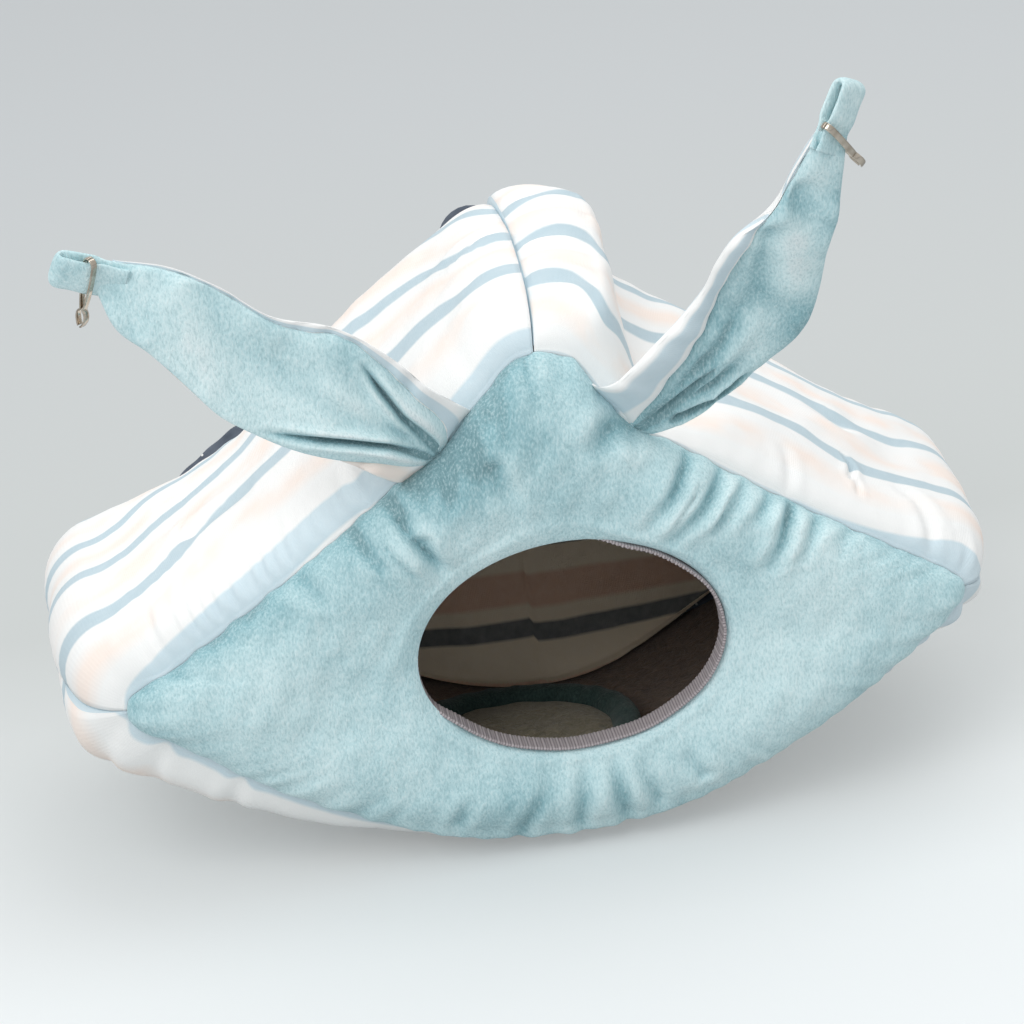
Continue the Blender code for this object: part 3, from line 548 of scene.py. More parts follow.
def smooth_curve(t, knots):
    """A smooth line through a few (t, value) knots."""
    xs = np.array([k[0] for k in knots], float)
    ys = np.array([k[1] for k in knots], float)
    slopes = np.gradient(ys, xs)
    t = np.clip(t, xs[0], xs[-1])
    i = np.clip(np.searchsorted(xs, t) - 1, 0, len(xs) - 2)
    gap = xs[i + 1] - xs[i]
    u = (t - xs[i]) / gap
    start = (1 + 2 * u) * (1 - u) ** 2 * ys[i] + u * (1 - u) ** 2 * gap * slopes[i]
    end = u * u * (3 - 2 * u) * ys[i + 1] + u * u * (u - 1) * gap * slopes[i + 1]
    return start + end


def ripple(along, wavelength, seed):
    """Waves of about one length, between about -1 and 1."""
    rng = np.random.default_rng(seed)
    total = np.zeros_like(along)
    for _ in range(5):
        length = wavelength * rng.uniform(0.7, 1.6)
        total = total + np.sin(2 * math.pi * along / length + rng.uniform(0, 2 * math.pi))
    return total / 3


def undulation(u, v, wavelength, seed):
    """A soft uneven surface over two coordinates, between about -1 and 1."""
    rng = np.random.default_rng(seed)
    total = np.zeros(np.broadcast(u, v).shape)
    for _ in range(8):
        turn = rng.uniform(0, math.pi)
        length = wavelength * rng.uniform(0.7, 1.5)
        total += np.sin(2 * math.pi * (u * math.cos(turn) + v * math.sin(turn)) / length + rng.uniform(0, 7))
    return total / 4


def line_distance(u, v, line):
    """Distance to a bent line, and how far along it the nearest point lies, from 0 to 1."""
    line = np.array(line, float)
    lengths = np.linalg.norm(np.diff(line, axis=0), axis=1)
    nearest = np.full(np.broadcast(u, v).shape, np.inf)
    share = np.zeros_like(nearest)
    done = 0.0
    for a, b, length in zip(line[:-1], line[1:], lengths):
        step = b - a
        t = np.clip(((u - a[0]) * step[0] + (v - a[1]) * step[1]) / length**2, 0, 1)
        distance = np.hypot(u - a[0] - t * step[0], v - a[1] - t * step[1])
        closer = distance < nearest
        nearest = np.where(closer, distance, nearest)
        share = np.where(closer, (done + t * length) / lengths.sum(), share)
        done += length
    return nearest, share


def fold(u, v, line, depth, width):
    """A valley that is deepest at its line's first point and runs out at its last, between raised banks."""
    distance, share = line_distance(u, v, line)
    taper = np.clip(1 - share, 0, 1) ** 0.7
    return depth * taper * (0.5 * bump(distance - 1.9 * width, 1.1 * width) - bump(distance, width))


def folds(u, v, table):
    return sum(fold(u, v, line, depth, width) for depth, width, line in table)


def crease(u, v, line, depth, width):
    """A sharp crease along a line, fading at both of its ends."""
    distance, share = line_distance(u, v, line)
    taper = np.clip(np.minimum(share * 14 + 0.35, (1 - share) * 3), 0, 1)
    return depth * taper * (0.42 * bump(distance - 2.6 * width, 1.6 * width) - np.exp(-distance / width))


def near_creases(u, v, table, reach):
    """1 on a crease's line, falling to 0 a reach away."""
    total = 0.0
    for _, _, line in table:
        distance, share = line_distance(u, v, line)
        total = total + bump(distance, reach) * np.clip((1 - share) * 3, 0, 1)
    return total


def creases(u, v, table):
    return sum(crease(u, v, line, depth, width) for depth, width, line in table)


# Sums patches that lighten or darken plush: painted light and shade on the ears, darkened patches on the
# front panel
def tone_patches(u, v, table):
    return sum(amount * bump(np.hypot(u - at[0], v - at[1]), reach) for amount, reach, at in table)


# Meshes

def grid_faces(rows, columns, wrap_rows, wrap_columns):
    """Quads of a grid of points, and each quad's corners in a grid of texture coordinates."""
    i, j = np.meshgrid(
        np.arange(rows if wrap_rows else rows - 1),
        np.arange(columns if wrap_columns else columns - 1),
        indexing="ij",
    )
    corners = [(i, j), (i + 1, j), (i + 1, j + 1), (i, j + 1)]
    vertices = [(a % rows * columns + b % columns).ravel() for a, b in corners]
    texture = [(a * (columns + wrap_columns) + b).ravel() for a, b in corners]
    return np.stack(vertices, axis=1), np.stack(texture, axis=1)


def add_object(name, data):
    obj = bpy.data.objects.new(name, data)
    bpy.context.scene.collection.objects.link(obj)
    return obj


def skin(name, points, uv, wrap_rows=False, wrap_columns=False, caps=False, matrix=None, painted_light=0.0):
    """An object from a grid of points. Texture coordinates of the same size are closed where the grid wraps.

    The last argument gives the painted light and shade at each point, in plush: below zero is painted shade,
    above zero a painted highlight.
    """
    rows, columns = points.shape[:2]
    if wrap_rows and uv.shape[0] == rows:
        uv = np.concatenate([uv, uv[:1]], axis=0)
    if wrap_columns and uv.shape[1] == columns:
        uv = np.concatenate([uv, uv[:, :1]], axis=1)
    faces, texture = grid_faces(rows, columns, wrap_rows, wrap_columns)
    mesh = bpy.data.meshes.new(name)
    polygons = faces.tolist()
    if caps:
        polygons.append(list(range(columns)))
        polygons.append(list(range((rows - 1) * columns, rows * columns))[::-1])
    mesh.from_pydata(points.reshape(-1, 3).tolist(), [], polygons)
    layer = mesh.uv_layers.new(name="cloth")
    flat = uv.reshape(-1, 2)[texture.ravel()]
    padded = np.zeros((len(mesh.loops), 2))
    padded[: len(flat)] = flat
    layer.data.foreach_set("uv", padded.ravel())
    tone_and_shade = np.broadcast_to(painted_light, (rows, columns)).ravel()
    mesh.attributes.new("painted_light", "FLOAT", "POINT").data.foreach_set("value", tone_and_shade.astype(np.float32))
    if matrix is not None:
        mesh.transform(matrix)
    build = bmesh.new()
    build.from_mesh(mesh)
    bmesh.ops.remove_doubles(build, verts=build.verts, dist=1e-6)
    bmesh.ops.recalc_face_normals(build, faces=build.faces)
    build.to_mesh(mesh)
    build.free()
    mesh.shade_smooth()
    return add_object(name, mesh)


def dress(obj, material, slot, body, *nodes):
    """Gives a piece its material, the body that it rides on and the nodes that it replaces. slot is not used.
    """
    obj.data.materials.append(material)
    if body:
        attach(obj, body)
    if nodes:
        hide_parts(*nodes)
    return obj


# Materials

class Nodes:
    """Short calls for building one material's nodes."""

    def __init__(self, name):
        self.material = bpy.data.materials.new(name)
        self.material.use_nodes = True
        self.tree = self.material.node_tree
        self.shader = self.tree.nodes["Principled BSDF"]
        self.coordinates = self.tree.nodes.new("ShaderNodeTexCoord")

    def feed(self, socket, value):
        """Links a node's output to a socket, or sets the socket to a plain value."""
        if isinstance(value, bpy.types.NodeSocket):
            self.tree.links.new(value, socket)
        else:
            socket.default_value = value

    def node(self, kind, **inputs):
        node = self.tree.nodes.new(f"ShaderNode{kind}")
        for name, value in inputs.items():
            self.feed(node.inputs[name], value)
        return node

    def mapped(self, output="Object", scale=(1, 1, 1), turn=(0, 0, 0)):
        place = self.coordinates.outputs[output]
        return self.node("Mapping", Vector=place, Scale=scale, Rotation=turn).outputs["Vector"]

    def noise(self, vector, scale, detail=3.0, roughness=0.5, distortion=0.0):
        noise = self.node("TexNoise", Vector=vector, Scale=scale, Detail=detail, Roughness=roughness)
        noise.inputs["Distortion"].default_value = distortion
        return noise.outputs["Fac"]

    def attribute(self, name):
        node = self.node("Attribute")
        node.attribute_name = name
        return node.outputs["Fac"]

    def spots(self, vector, scale):
        return self.node("TexVoronoi", Vector=vector, Scale=scale).outputs["Distance"]

    def waves(self, vector, scale, direction):
        wave = self.node("TexWave", Vector=vector, Scale=scale)
        wave.bands_direction = direction
        return wave.outputs["Fac"]

    def ramp(self, value, stops):
        ramp = self.node("ValToRGB", Fac=value)
        elements = ramp.color_ramp.elements
        while len(elements) < len(stops):
            elements.new(0.5)
        for element, (position, colour) in zip(elements, stops):
            element.position = position
            element.color = colour if isinstance(colour, tuple) else (colour, colour, colour, 1.0)
        return ramp.outputs["Color"]

    def mix(self, share, a, b, blend="MIX"):
        mix = self.node("Mix")
        mix.data_type = "RGBA"
        mix.blend_type = blend
        for socket, value in ((0, share), (6, a), (7, b)):
            self.feed(mix.inputs[socket], value)
        return mix.outputs[2]

    def math(self, operation, a, b=0.0):
        node = self.node("Math")
        node.operation = operation
        self.feed(node.inputs[0], a)
        self.feed(node.inputs[1], b)
        return node.outputs[0]

    def axis(self, vector, name):
        return self.node("SeparateXYZ", Vector=vector).outputs[name]

    def bump(self, height, distance, strength=1.0, **normal):
        node = self.node("Bump", Height=height, Distance=distance, Strength=strength, **normal)
        return node.outputs["Normal"]

    def finish(self, colour, roughness, **sockets):
        """Gives the shader its colour, its roughness and other sockets, whose names have _ for each space."""
        self.feed(self.shader.inputs["Base Color"], colour)
        self.feed(self.shader.inputs["Roughness"], roughness)
        for name, value in sockets.items():
            self.feed(self.shader.inputs[name.replace("_", " ")], value)
        return self.material


def plush(name, dark, middle, light, patch_scale=16.0):
    """Short velvety pile, with painted shade in the hollows and painted highlights on the folds' backs, which
    each point carries in an attribute.
    """
    nodes = Nodes(name)
    place = nodes.mapped()
    patches = nodes.noise(place, patch_scale, detail=3.0, roughness=0.5, distortion=0.7)
    strokes = nodes.mapped(scale=(1.0, 1.0, 0.35), turn=PILE_TURN)
    brushed = nodes.noise(strokes, 190.0, detail=3.0, roughness=0.6)
    streaks = nodes.math("MULTIPLY", nodes.math("SUBTRACT", brushed, 0.5), 0.34)
    # The pile's random patches and streaks, plus each point's painted light and shade
    tone_and_shade = nodes.math("ADD", nodes.math("ADD", patches, streaks), nodes.attribute("painted_light"))
    deep = tuple(0.72 * c for c in dark[:3]) + (1.0,)
    pale = tuple(0.55 * c + 0.42 for c in light[:3]) + (1.0,)
    if light[0] < 0.3:
        pale = light
    colour = nodes.ramp(tone_and_shade, [(0.0, deep), (0.16, dark), (0.44, middle), (0.72, light), (1.0, pale)])
    hairs = nodes.mapped(scale=(1.0, 1.0, 0.42), turn=PILE_TURN)
    fibres = nodes.noise(hairs, 1250.0, detail=3.0, roughness=0.6)
    tips = nodes.ramp(fibres, [(0.5, 0.0), (0.66, 0.75)])
    colour = nodes.mix(tips, colour, tuple(0.42 * c for c in light[:3]) + (1.0,), "SCREEN")
    hollows = nodes.ramp(fibres, [(0.34, 0.6), (0.49, 0.0)])
    colour = nodes.mix(hollows, colour, tuple(0.45 + 0.35 * c for c in light[:3]) + (1.0,), "MULTIPLY")
    height = nodes.math("ADD", fibres, nodes.math("MULTIPLY", brushed, 0.8))
    normal = nodes.bump(height, 0.0009, 0.6)
    return nodes.finish(
        colour, 0.95, Normal=normal, Sheen_Weight=0.3, Sheen_Roughness=0.5, Specular_IOR_Level=0.12,
        Sheen_Tint=tuple(0.5 + 0.5 * c for c in light[:3]) + (1.0,),
    )


def striped_cotton(name, bands, white=WHITE):
    """Fine woven cotton. bands are (start, end, colour, soft edge) in metres across the cloth."""
    nodes = Nodes(name)
    cloth = nodes.mapped("UV")
    across = nodes.axis(cloth, "Y")
    wobble = nodes.math("MULTIPLY", nodes.math("SUBTRACT", nodes.noise(cloth, 30.0, detail=2.0), 0.5), 0.0014)
    across = nodes.math("ADD", across, wobble)
    clouds = nodes.ramp(nodes.noise(cloth, 42.0, detail=2.0), [(0.36, 0.15), (0.6, 1.0)])
    colour = white
    for start, end, tint, edge in bands:
        from_middle = nodes.math("ABSOLUTE", nodes.math("SUBTRACT", across, (start + end) / 2))
        inside = nodes.math("SUBTRACT", (end - start) / 2 + edge, from_middle)
        share = nodes.math("DIVIDE", inside, 2 * edge)
        if edge > CLOUDY_EDGE:
            share = nodes.math("MULTIPLY", nodes.math("MINIMUM", share, 1.0), clouds)
        colour = nodes.mix(share, colour, tint)
    dye = nodes.noise(cloth, 260.0, detail=4.0)
    colour = nodes.mix(nodes.ramp(dye, [(0.35, 0.0), (0.75, 0.08)]), colour, srgb(250, 250, 250))
    shade = nodes.ramp(nodes.noise(nodes.mapped(), 9.0, detail=2.0), [(0.3, 0.0), (0.8, 0.05)])
    colour = nodes.mix(shade, colour, srgb(232, 214, 205))
    warp = nodes.waves(cloth, 420.0, "X")
    weft = nodes.waves(cloth, 420.0, "Y")
    weave = nodes.math("ADD", warp, weft)
    creases = nodes.noise(cloth, 46.0, detail=3.0, distortion=0.7)
    normal = nodes.bump(weave, 0.00007, 0.5)
    normal = nodes.bump(creases, 0.0012, 0.45, Normal=normal)
    return nodes.finish(
        colour, 0.72, Normal=normal, Sheen_Weight=0.12, Sheen_Roughness=0.5, Specular_IOR_Level=0.25
    )


def slate_cotton():
    """Dark slate cotton with a scatter of tiny white and red-brown specks."""
    nodes = Nodes("slate_cotton")
    cloth = nodes.mapped()
    mottle = nodes.noise(cloth, 120.0, detail=4.0)
    colour = nodes.ramp(mottle, [(0.3, srgb(74, 82, 94)), (0.7, srgb(100, 108, 120))])
    for scale, size, tint in ((310.0, 0.14, srgb(226, 226, 224)), (230.0, 0.1, srgb(150, 92, 80))):
        speck = nodes.ramp(nodes.spots(cloth, scale), [(size, 1.0), (size + 0.05, 0.0)])
        kept = nodes.ramp(nodes.noise(cloth, scale * 0.45, detail=1.0), [(0.52, 0.0), (0.56, 1.0)])
        colour = nodes.mix(nodes.math("MULTIPLY", speck, kept), colour, tint)
    creases = nodes.noise(cloth, 40.0, detail=3.0, distortion=0.6)
    weave = nodes.noise(cloth, 1900.0, detail=1.0)
    normal = nodes.bump(creases, 0.0012, 0.4, Normal=nodes.bump(weave, 0.00012, 0.6))
    return nodes.finish(colour, 0.8, Normal=normal, Specular_IOR_Level=0.2, Sheen_Weight=0.1)


def grosgrain():
    """Ribbed tape: the ribs are in the mesh, and the weave's threads are here."""
    nodes = Nodes("grosgrain")
    cloth = nodes.mapped("UV")
    ribs = nodes.waves(cloth, 0.5 / RIB_SPACING, "X")
    # Painted shade and light of the ribs: darker and lighter bands across the tape at about the ribs' spacing
    colour = nodes.ramp(ribs, [(0.1, srgb(134, 126, 130)), (0.7, srgb(178, 170, 172))])
    threads = nodes.noise(nodes.mapped("UV", scale=(1.0, 0.25, 1.0)), 1600.0, detail=2.0)
    colour = nodes.mix(nodes.ramp(threads, [(0.4, 0.0), (0.8, 0.35)]), colour, srgb(196, 190, 190))
    normal = nodes.bump(threads, 0.00025, 0.7)
    return nodes.finish(colour, 0.75, Normal=normal, Specular_IOR_Level=0.25)


def fleece(name, dark, light):
    """Matted fleece with small curls."""
    nodes = Nodes(name)
    place = nodes.mapped()
    curls = nodes.noise(place, 260.0, detail=6.0, roughness=0.68, distortion=1.2)
    clumps = nodes.noise(place, 40.0, detail=3.0)
    colour = nodes.ramp(curls, [(0.32, dark), (0.66, light)])
    colour = nodes.mix(nodes.ramp(clumps, [(0.35, 0.0), (0.7, 0.35)]), colour, dark)
    normal = nodes.bump(curls, 0.0022, 0.8)
    return nodes.finish(colour, 0.96, Normal=normal, Sheen_Weight=0.25, Specular_IOR_Level=0.1)


def spring_steel():
    """Nickel-plated strip with faint drawing lines and a warm tint."""
    nodes = Nodes("nickel_steel")
    lines = nodes.noise(nodes.mapped(scale=(1.0, 1.0, 0.06)), 2600.0, detail=2.0)
    blotches = nodes.noise(nodes.mapped(), 220.0, detail=2.0)
    colour = nodes.ramp(blotches, [(0.3, srgb(168, 156, 141)), (0.7, srgb(212, 203, 190))])
    rough = nodes.ramp(lines, [(0.3, 0.1), (0.7, 0.22)])
    normal = nodes.bump(lines, 0.00004, 0.5)
    return nodes.finish(colour, rough, Normal=normal, Metallic=1.0)


TEAL = (srgb(150, 191, 199), srgb(191, 222, 227), srgb(214, 238, 241))
FINISH = {
    "front_plush": plush("front_plush", *TEAL),
    "ear_plush": plush("ear_plush", *TEAL, patch_scale=26.0),
    "strap_plush": plush("strap_plush", *TEAL, patch_scale=60.0),
    "border_plush": plush("border_plush", srgb(34, 50, 48), srgb(48, 66, 63), srgb(66, 86, 82)),
    "roof": striped_cotton(
        "roof_cotton",
        [
            (-0.005, 0.012, PALE_BLUE, 0.0008),
            (0.027, 0.04, BLUSH, 0.004),
            (0.0505, 0.0595, STRIPE_BLUE, 0.0007),
            (0.066, 0.08, BLUSH, 0.0035),
            (0.0885, 0.096, STRIPE_BLUE, 0.0007),
            (0.103, 0.115, BLUSH, 0.0035),
            (0.1235, 0.1305, STRIPE_BLUE, 0.0007),
            (0.138, 0.15, BLUSH, 0.0035),
            (0.16, 0.167, STRIPE_BLUE, 0.0007),
            (0.174, 0.186, BLUSH, 0.0035),
        ],
    ),
    "ear_cotton": striped_cotton(
        "ear_cotton",
        [
            (-0.02, -0.012, BLUSH, 0.002),
            (-0.003, 0.003, STRIPE_BLUE, 0.0006),
            (0.0455, 0.058, PALE_BLUE, 0.0008),
        ],
    ),
    "lining": striped_cotton(
        "lining_cotton",
        [
            (0.004, 0.014, srgb(226, 192, 170), 0.0012),
            (0.0308, 0.0375, srgb(98, 104, 106), 0.0006),
            (0.043, 0.056, srgb(212, 178, 156), 0.001),
            (0.068, 0.076, srgb(104, 108, 108), 0.0006),
            (0.086, 0.1, srgb(212, 178, 156), 0.001),
            (0.112, 0.12, srgb(104, 108, 108), 0.0006),
            (0.132, 0.146, srgb(212, 178, 156), 0.001),
        ],
        white=srgb(226, 214, 192),
    ),
    "slate": slate_cotton(),
    "tape": grosgrain(),
    "brown_fleece": fleece("brown_fleece", srgb(84, 66, 52), srgb(128, 106, 88)),
    "cream_fleece": fleece("cream_fleece", srgb(104, 97, 76), srgb(146, 137, 114)),
    "steel": spring_steel(),
}


# Walls of the tent

def wall_grid(along, stations, offset):
    """Points at distances along the outline and y stations; offset is how far out of the seam's surface."""
    place, normal = outline_at(along)
    shift = settle(place)
    share = (stations - FRONT_Y) / SEAM_DEPTH
    over = np.maximum(0.0, place[:, 1] - (SEAM_BOTTOM + CORNER_RISE))
    fade = (1 - share) ** 2
    x = place[:, :1] * (1 + BACK_WIDENING * share) + shift[:, :1] * fade + normal[:, :1] * offset
    x = x + ridge_shift(place, share)
    z = place[:, 1:] + over[:, None] * BACK_RISING * share + shift[:, 1:] * fade + normal[:, 1:] * offset
    return stacked(x, stations, z)


def wall_terms(along, stations):
    """Distances that a wall's shape depends on, each as a grid."""
    place, _ = outline_at(along)
    half = (BACK_EDGE - FRONT_EDGE) / 2
    puff = puff_profile(stations / half)[None, :]
    share = np.minimum(np.abs(place[:, :1]) / SEAM_HALF_WIDTH, 1)
    front = (stations - FRONT_EDGE)[None, :]
    back = (BACK_EDGE - stations)[None, :]
    return place[:, :1], share, puff, front, back


def seam_puckers(along, distance, height, wavelength, reach, seed):
    """Gathers that stand off a seam and die away from it."""
    grow = 1 - np.exp(-distance / (0.12 * reach))
    return height * grow * np.exp(-distance / reach) * ripple(along, wavelength, seed)


def wall_offset(along, stations, middle, centre, side, seed):
    x, share, puff, front, back = wall_terms(along, stations)
    corner = LEFT_CORNER_PUFF if side < 0 else RIGHT_CORNER_PUFF
    if side == 0:
        corner = np.where(x < 0, LEFT_CORNER_PUFF, RIGHT_CORNER_PUFF)
    full = middle + (centre - middle) * (1 - share) ** RIDGE_POWER + (corner - middle) * share**PUFF_POWER
    column = along[:, None]
    from_corner = np.abs(np.minimum(column, OUTLINE_LENGTH - column) - CORNER_ALONG)
    full = full + np.where(column > OUTLINE_LENGTH / 2, LEFT_CORNER_EXTRA, 0.0) * bump(from_corner, 0.045)
    tuck = 1 - 0.3 * np.exp(-from_corner / 0.005)
    offset = full * puff * tuck
    offset = offset + seam_puckers(column, front, PUCKERS[side], 0.013, 0.009, seed)
    offset = offset + seam_puckers(column, back, 0.001, 0.015, 0.012, seed + 1)
    for extra, (height, wavelength) in enumerate(WALL_UNEVENNESS, start=2):
        offset = offset + height * puff * undulation(column, stations[None, :], wavelength, seed + extra)
    return offset


def print_across(along, run, side):
    """Where a roof's run from its front seam falls on the printed cloth, which was cut a little askew."""
    down = down_from_ridge(along)
    if side == 0:
        at_corner = bump(down - CORNER_ALONG, 0.03) * (along < OUTLINE_LENGTH / 2)[:, None]
        return run + BASE_PRINT_START - BASE_PRINT_CORNER * at_corner
    table = PRINT_RUNS[side]
    marks = [smooth_curve(down, [(row[0], row[k + 1]) for row in table]) for k in range(len(PRINT_MARKS))]
    printed = PRINT_MARKS[0] + (np.minimum(run, marks[0]) - marks[0]) / SEAM_CLOTH_PULL
    for k in range(1, len(marks)):
        between = marks[k] - marks[k - 1]
        beyond = np.maximum(run - marks[k - 1], 0)
        if k < len(marks) - 1:
            beyond = np.minimum(beyond, between)
        printed = printed + (PRINT_MARKS[k] - PRINT_MARKS[k - 1]) * beyond / between
    return printed


def wall_sections(along, outward, side):
    """Closed sections of a padded wall: its outer face from front to back, and its inner face back again."""
    outer_y = clustered(FRONT_EDGE, BACK_EDGE, 110)
    inner_y = clustered(BACK_EDGE, FRONT_EDGE, 26)
    outer = wall_grid(along, outer_y, outward(along, outer_y))
    inner_offset = LINING + LAYER_GAP - SEAM_WALL - INNER_PUFF * puff_profile(inner_y / BACK_EDGE)[None, :]
    inner = wall_grid(along, inner_y, inner_offset)
    outer[:, 0, 1] -= SEAM_TUCK
    lengths = np.linalg.norm(np.diff(outer, axis=1), axis=2)
    run = np.concatenate([np.zeros((len(along), 1)), np.cumsum(lengths, axis=1)], axis=1)
    run = run / run[:, -1:] * ROOF_LENGTH
    run = print_across(along, run, side)
    inner_run = ROOF_LENGTH * (inner_y - FRONT_EDGE) / (BACK_EDGE - FRONT_EDGE)
    inner_run = np.broadcast_to(inner_run, inner.shape[:2])
    v = np.concatenate([run, print_across(along, inner_run, side)], axis=1)
    return np.concatenate([outer, inner], axis=1), stacked(along[:, None], v)


def roof_offset(name):
    """How far a roof stands out: fullest beside the ridge, where the right one makes a thick roll."""
    side = SIDE[name]

    def outward(along, stations):
        offset = wall_offset(along, stations, ROOF_PUFF, RIDGE_PUFF, side, 11 if side > 0 else 31)
        _, _, puff, _, _ = wall_terms(along, stations)
        down = down_from_ridge(along)
        y = stations[None, :]
        front = (stations - FRONT_EDGE)[None, :]
        if side > 0:
            forward = np.clip((0.055 - y) / 0.06, 0, 1)
            offset = offset - puff * RIGHT_VALLEY * bump(down - 0.066, 0.02) * forward
        else:
            sunk_back = np.clip((y + 0.01) / 0.08, 0, 1) ** 1.5 * bump(down, 0.02)
            offset = offset * (1 - LEFT_RIDGE_SINK * sunk_back)
        for height, middle, reach, y_middle, y_reach in ROOF_SWELLS[name]:
            offset = offset + puff * height * bump(down - middle, reach) * bump(y - y_middle, y_reach)
        offset = offset * (1 - RIDGE_DIP[name] * np.exp(-down / 0.0055))
        pulls = ripple(y, 0.01, 5 + side) * np.exp(-down / 0.01) * (1 - np.exp(-down / 0.0012))
        offset = offset + 0.0018 * puff * pulls
        for middle, reach, height in SEAM_GATHERS[name]:
            gathers = ripple(down + 0.25 * front, 0.0052, 19 + side) * bump(down - middle, reach)
            offset = offset + height * gathers * np.exp(-front / 0.0062) * (1 - np.exp(-front / 0.0012))
        shape = folds(down, y, ROOF_FOLDS[name]) + creases(down, y, ROOF_CREASES[name])
        return offset + puff**0.3 * shape

    return outward


def lining_sections(along, wrinkle, seed):
    """Closed sections of the thin cloth inside a wall."""
    inset = 0.0006
    y_in = clustered(FRONT_EDGE + inset, BACK_EDGE - inset, 60)
    puff = puff_profile(y_in / BACK_EDGE)[None, :]
    waves = wrinkle * puff * undulation(along[:, None], y_in[None, :], 0.03, seed)
    inner = wall_grid(along, y_in, -SEAM_WALL - INNER_PUFF * puff + np.minimum(waves, 0))
    outer = wall_grid(along, y_in[::-1], -SEAM_WALL - INNER_PUFF * puff[:, ::-1] + LINING)
    run = (y_in - y_in[0])[None, :]
    v = np.concatenate([run, run[:, ::-1]], axis=1)
    return np.concatenate([inner, outer], axis=1), stacked(along[:, None], v)


def wall(name, along, outward, side):
    points, uv = wall_sections(along, outward, side)
    points[..., 2] = np.maximum(points[..., 2], REST_LIFT)
    made = skin(name, points, uv, wrap_columns=True, caps=True)
    dress(made, FINISH["roof"], "striped_cotton", "house", f"{name}_cover", f"{name}_wadding")


def cloth_inside(name, along, finish, slot, node, wrinkle, seed):
    points, uv = lining_sections(along, wrinkle, seed)
    made = skin(name, points, uv, wrap_columns=True, caps=True)
    dress(made, FINISH[finish], slot, "house", node)


def base_offset(along, stations):
    """How far the base stands out: a bolster by the front on the left, and drawn in on the right."""
    offset = wall_offset(along, stations, BASE_PUFF, BASE_PUFF, 0, 51)
    from_corner = down_from_ridge(along) - CORNER_ALONG
    front = (stations - FRONT_EDGE)[None, :]
    on_left = np.clip((along[:, None] - OUTLINE_LENGTH / 2) / 0.05, 0, 1)
    on_right = np.clip((OUTLINE_LENGTH / 2 - along[:, None]) / 0.06, 0, 1)
    wrapped = 1 - 0.75 * bump(from_corner, 0.026)
    offset = offset * (1 - 0.75 * on_right * wrapped * np.exp(-front / 0.045))
    bolster = LEFT_BOLSTER * on_left * bump(from_corner - 0.055, 0.06)
    offset = offset + bolster * np.exp(-front / 0.03) * (1 - np.exp(-front / 0.0035))
    return offset + folds(from_corner, stations[None, :], BASE_FOLDS)


def roofs_and_base():
    seam = WALL_GAP / 2
    right = np.linspace(seam, CORNER_ALONG - seam, 200)
    spans = {"right": right, "left": OUTLINE_LENGTH - right[::-1]}
    for name, along in spans.items():
        wall(f"{name}_roof", along, roof_offset(name), SIDE[name])
        cloth_inside(
            f"{name}_roof_inside", along[::3], "lining", "striped_cotton", f"{name}_roof_lining",
            0.0015, 41,
        )
    under = np.linspace(CORNER_ALONG + seam, OUTLINE_LENGTH - CORNER_ALONG - seam, 300)
    wall("base", under, base_offset, 0)
    cloth_inside(
        "floor_fleece", under[::3], "brown_fleece", "brown_fleece", "floor_lining", 0.0, 61
    )


# Front panel

def entrance_point(towards, shrink=0.0):
    """The point of the entrance's ellipse that lies towards each point of the outline."""
    half = np.array([ENTRANCE_HALF_WIDTH, ENTRANCE_HALF_HEIGHT]) - shrink
    way = unit((towards - ENTRANCE_CENTRE) / half)
    edge = ENTRANCE_CENTRE + half * way
    return edge + ENTRANCE_PULL * hidden_tape(edge)[..., None] * way


def hidden_tape(place):
    """1 where the entrance's plush lip hides its tape, at the upper left, and 0 elsewhere."""
    across = (place[..., 0] - ENTRANCE_CENTRE[0]) / ENTRANCE_HALF_WIDTH
    up = (place[..., 1] - ENTRANCE_CENTRE[1]) / ENTRANCE_HALF_HEIGHT
    facing = -across * math.sin(LIP_TURN) + up * math.cos(LIP_TURN)
    share = np.clip((facing - 0.22) / 0.3, 0, 1)
    return ease(share)


def front_thickness(share, x, z, along, to_seam):
    """How far the front panel's face stands out of its flat inner side, and the painted light and shade on
    its plush.
    """
    rise = np.sin(math.pi / 2 * np.minimum(1, share / FRONT_FULLEST_AT))
    full = FRONT_PUFF_AT_ENTRANCE + (FRONT_PUFF - FRONT_PUFF_AT_ENTRANCE) * rise
    body = EDGE_THICKNESS + (SEAM_WALL - EDGE_THICKNESS + full) * puff_profile(share)
    from_hole = share * FROM_ENTRANCE_TO_SEAM
    lip = -0.0016 * np.exp(-from_hole / 0.0012) + 0.0007 * bump(from_hole - 0.0055, 0.003)
    live = puff_profile(share) ** 0.6 * (1 - np.exp(-from_hole / 0.004))
    pleats = FRONT_FOLD_STRENGTH * folds(x, z, FRONT_FOLDS) + creases(x, z, FRONT_CREASES)
    pleats = pleats + seam_puckers(along, to_seam, 0.0011, 0.012, 0.009, 71)
    shape = pleats + 0.0012 * undulation(x, z, 0.05, 72) + 0.0004 * undulation(x, z, 0.016, 73)
    # Painted shade beside the front seam at the top, stronger on the left
    shade_by_seam = np.exp(-to_seam / 0.011) * np.clip((z - 0.06) / 0.05, 0, 1) * np.where(x < 0, 0.42, 0.16)
    patches = tone_patches(x, z, FRONT_DARK_PATCHES)
    low = 0.16 * bump(z - 0.026, 0.016)
    # Painted light and shade on the plush: painted shade in the pleats' hollows and painted highlights on
    # their backs, less the painted shade by the seam, the darkened patches and a darker band low on the panel
    painted_light = np.clip(live * pleats / 0.009, -0.55, 0.34) - shade_by_seam - patches - low
    return body + lip + live * shape, painted_light


def front_rim():
    """Distances along the front panel's rim, and its places."""
    along = np.linspace(0, OUTLINE_LENGTH, 560, endpoint=False)
    place, normal = outline_at(along)
    scallop = 0.0005 * (1 + ripple(along, 0.013, 74))
    return along, place + settle(place) - normal * scallop[:, None]


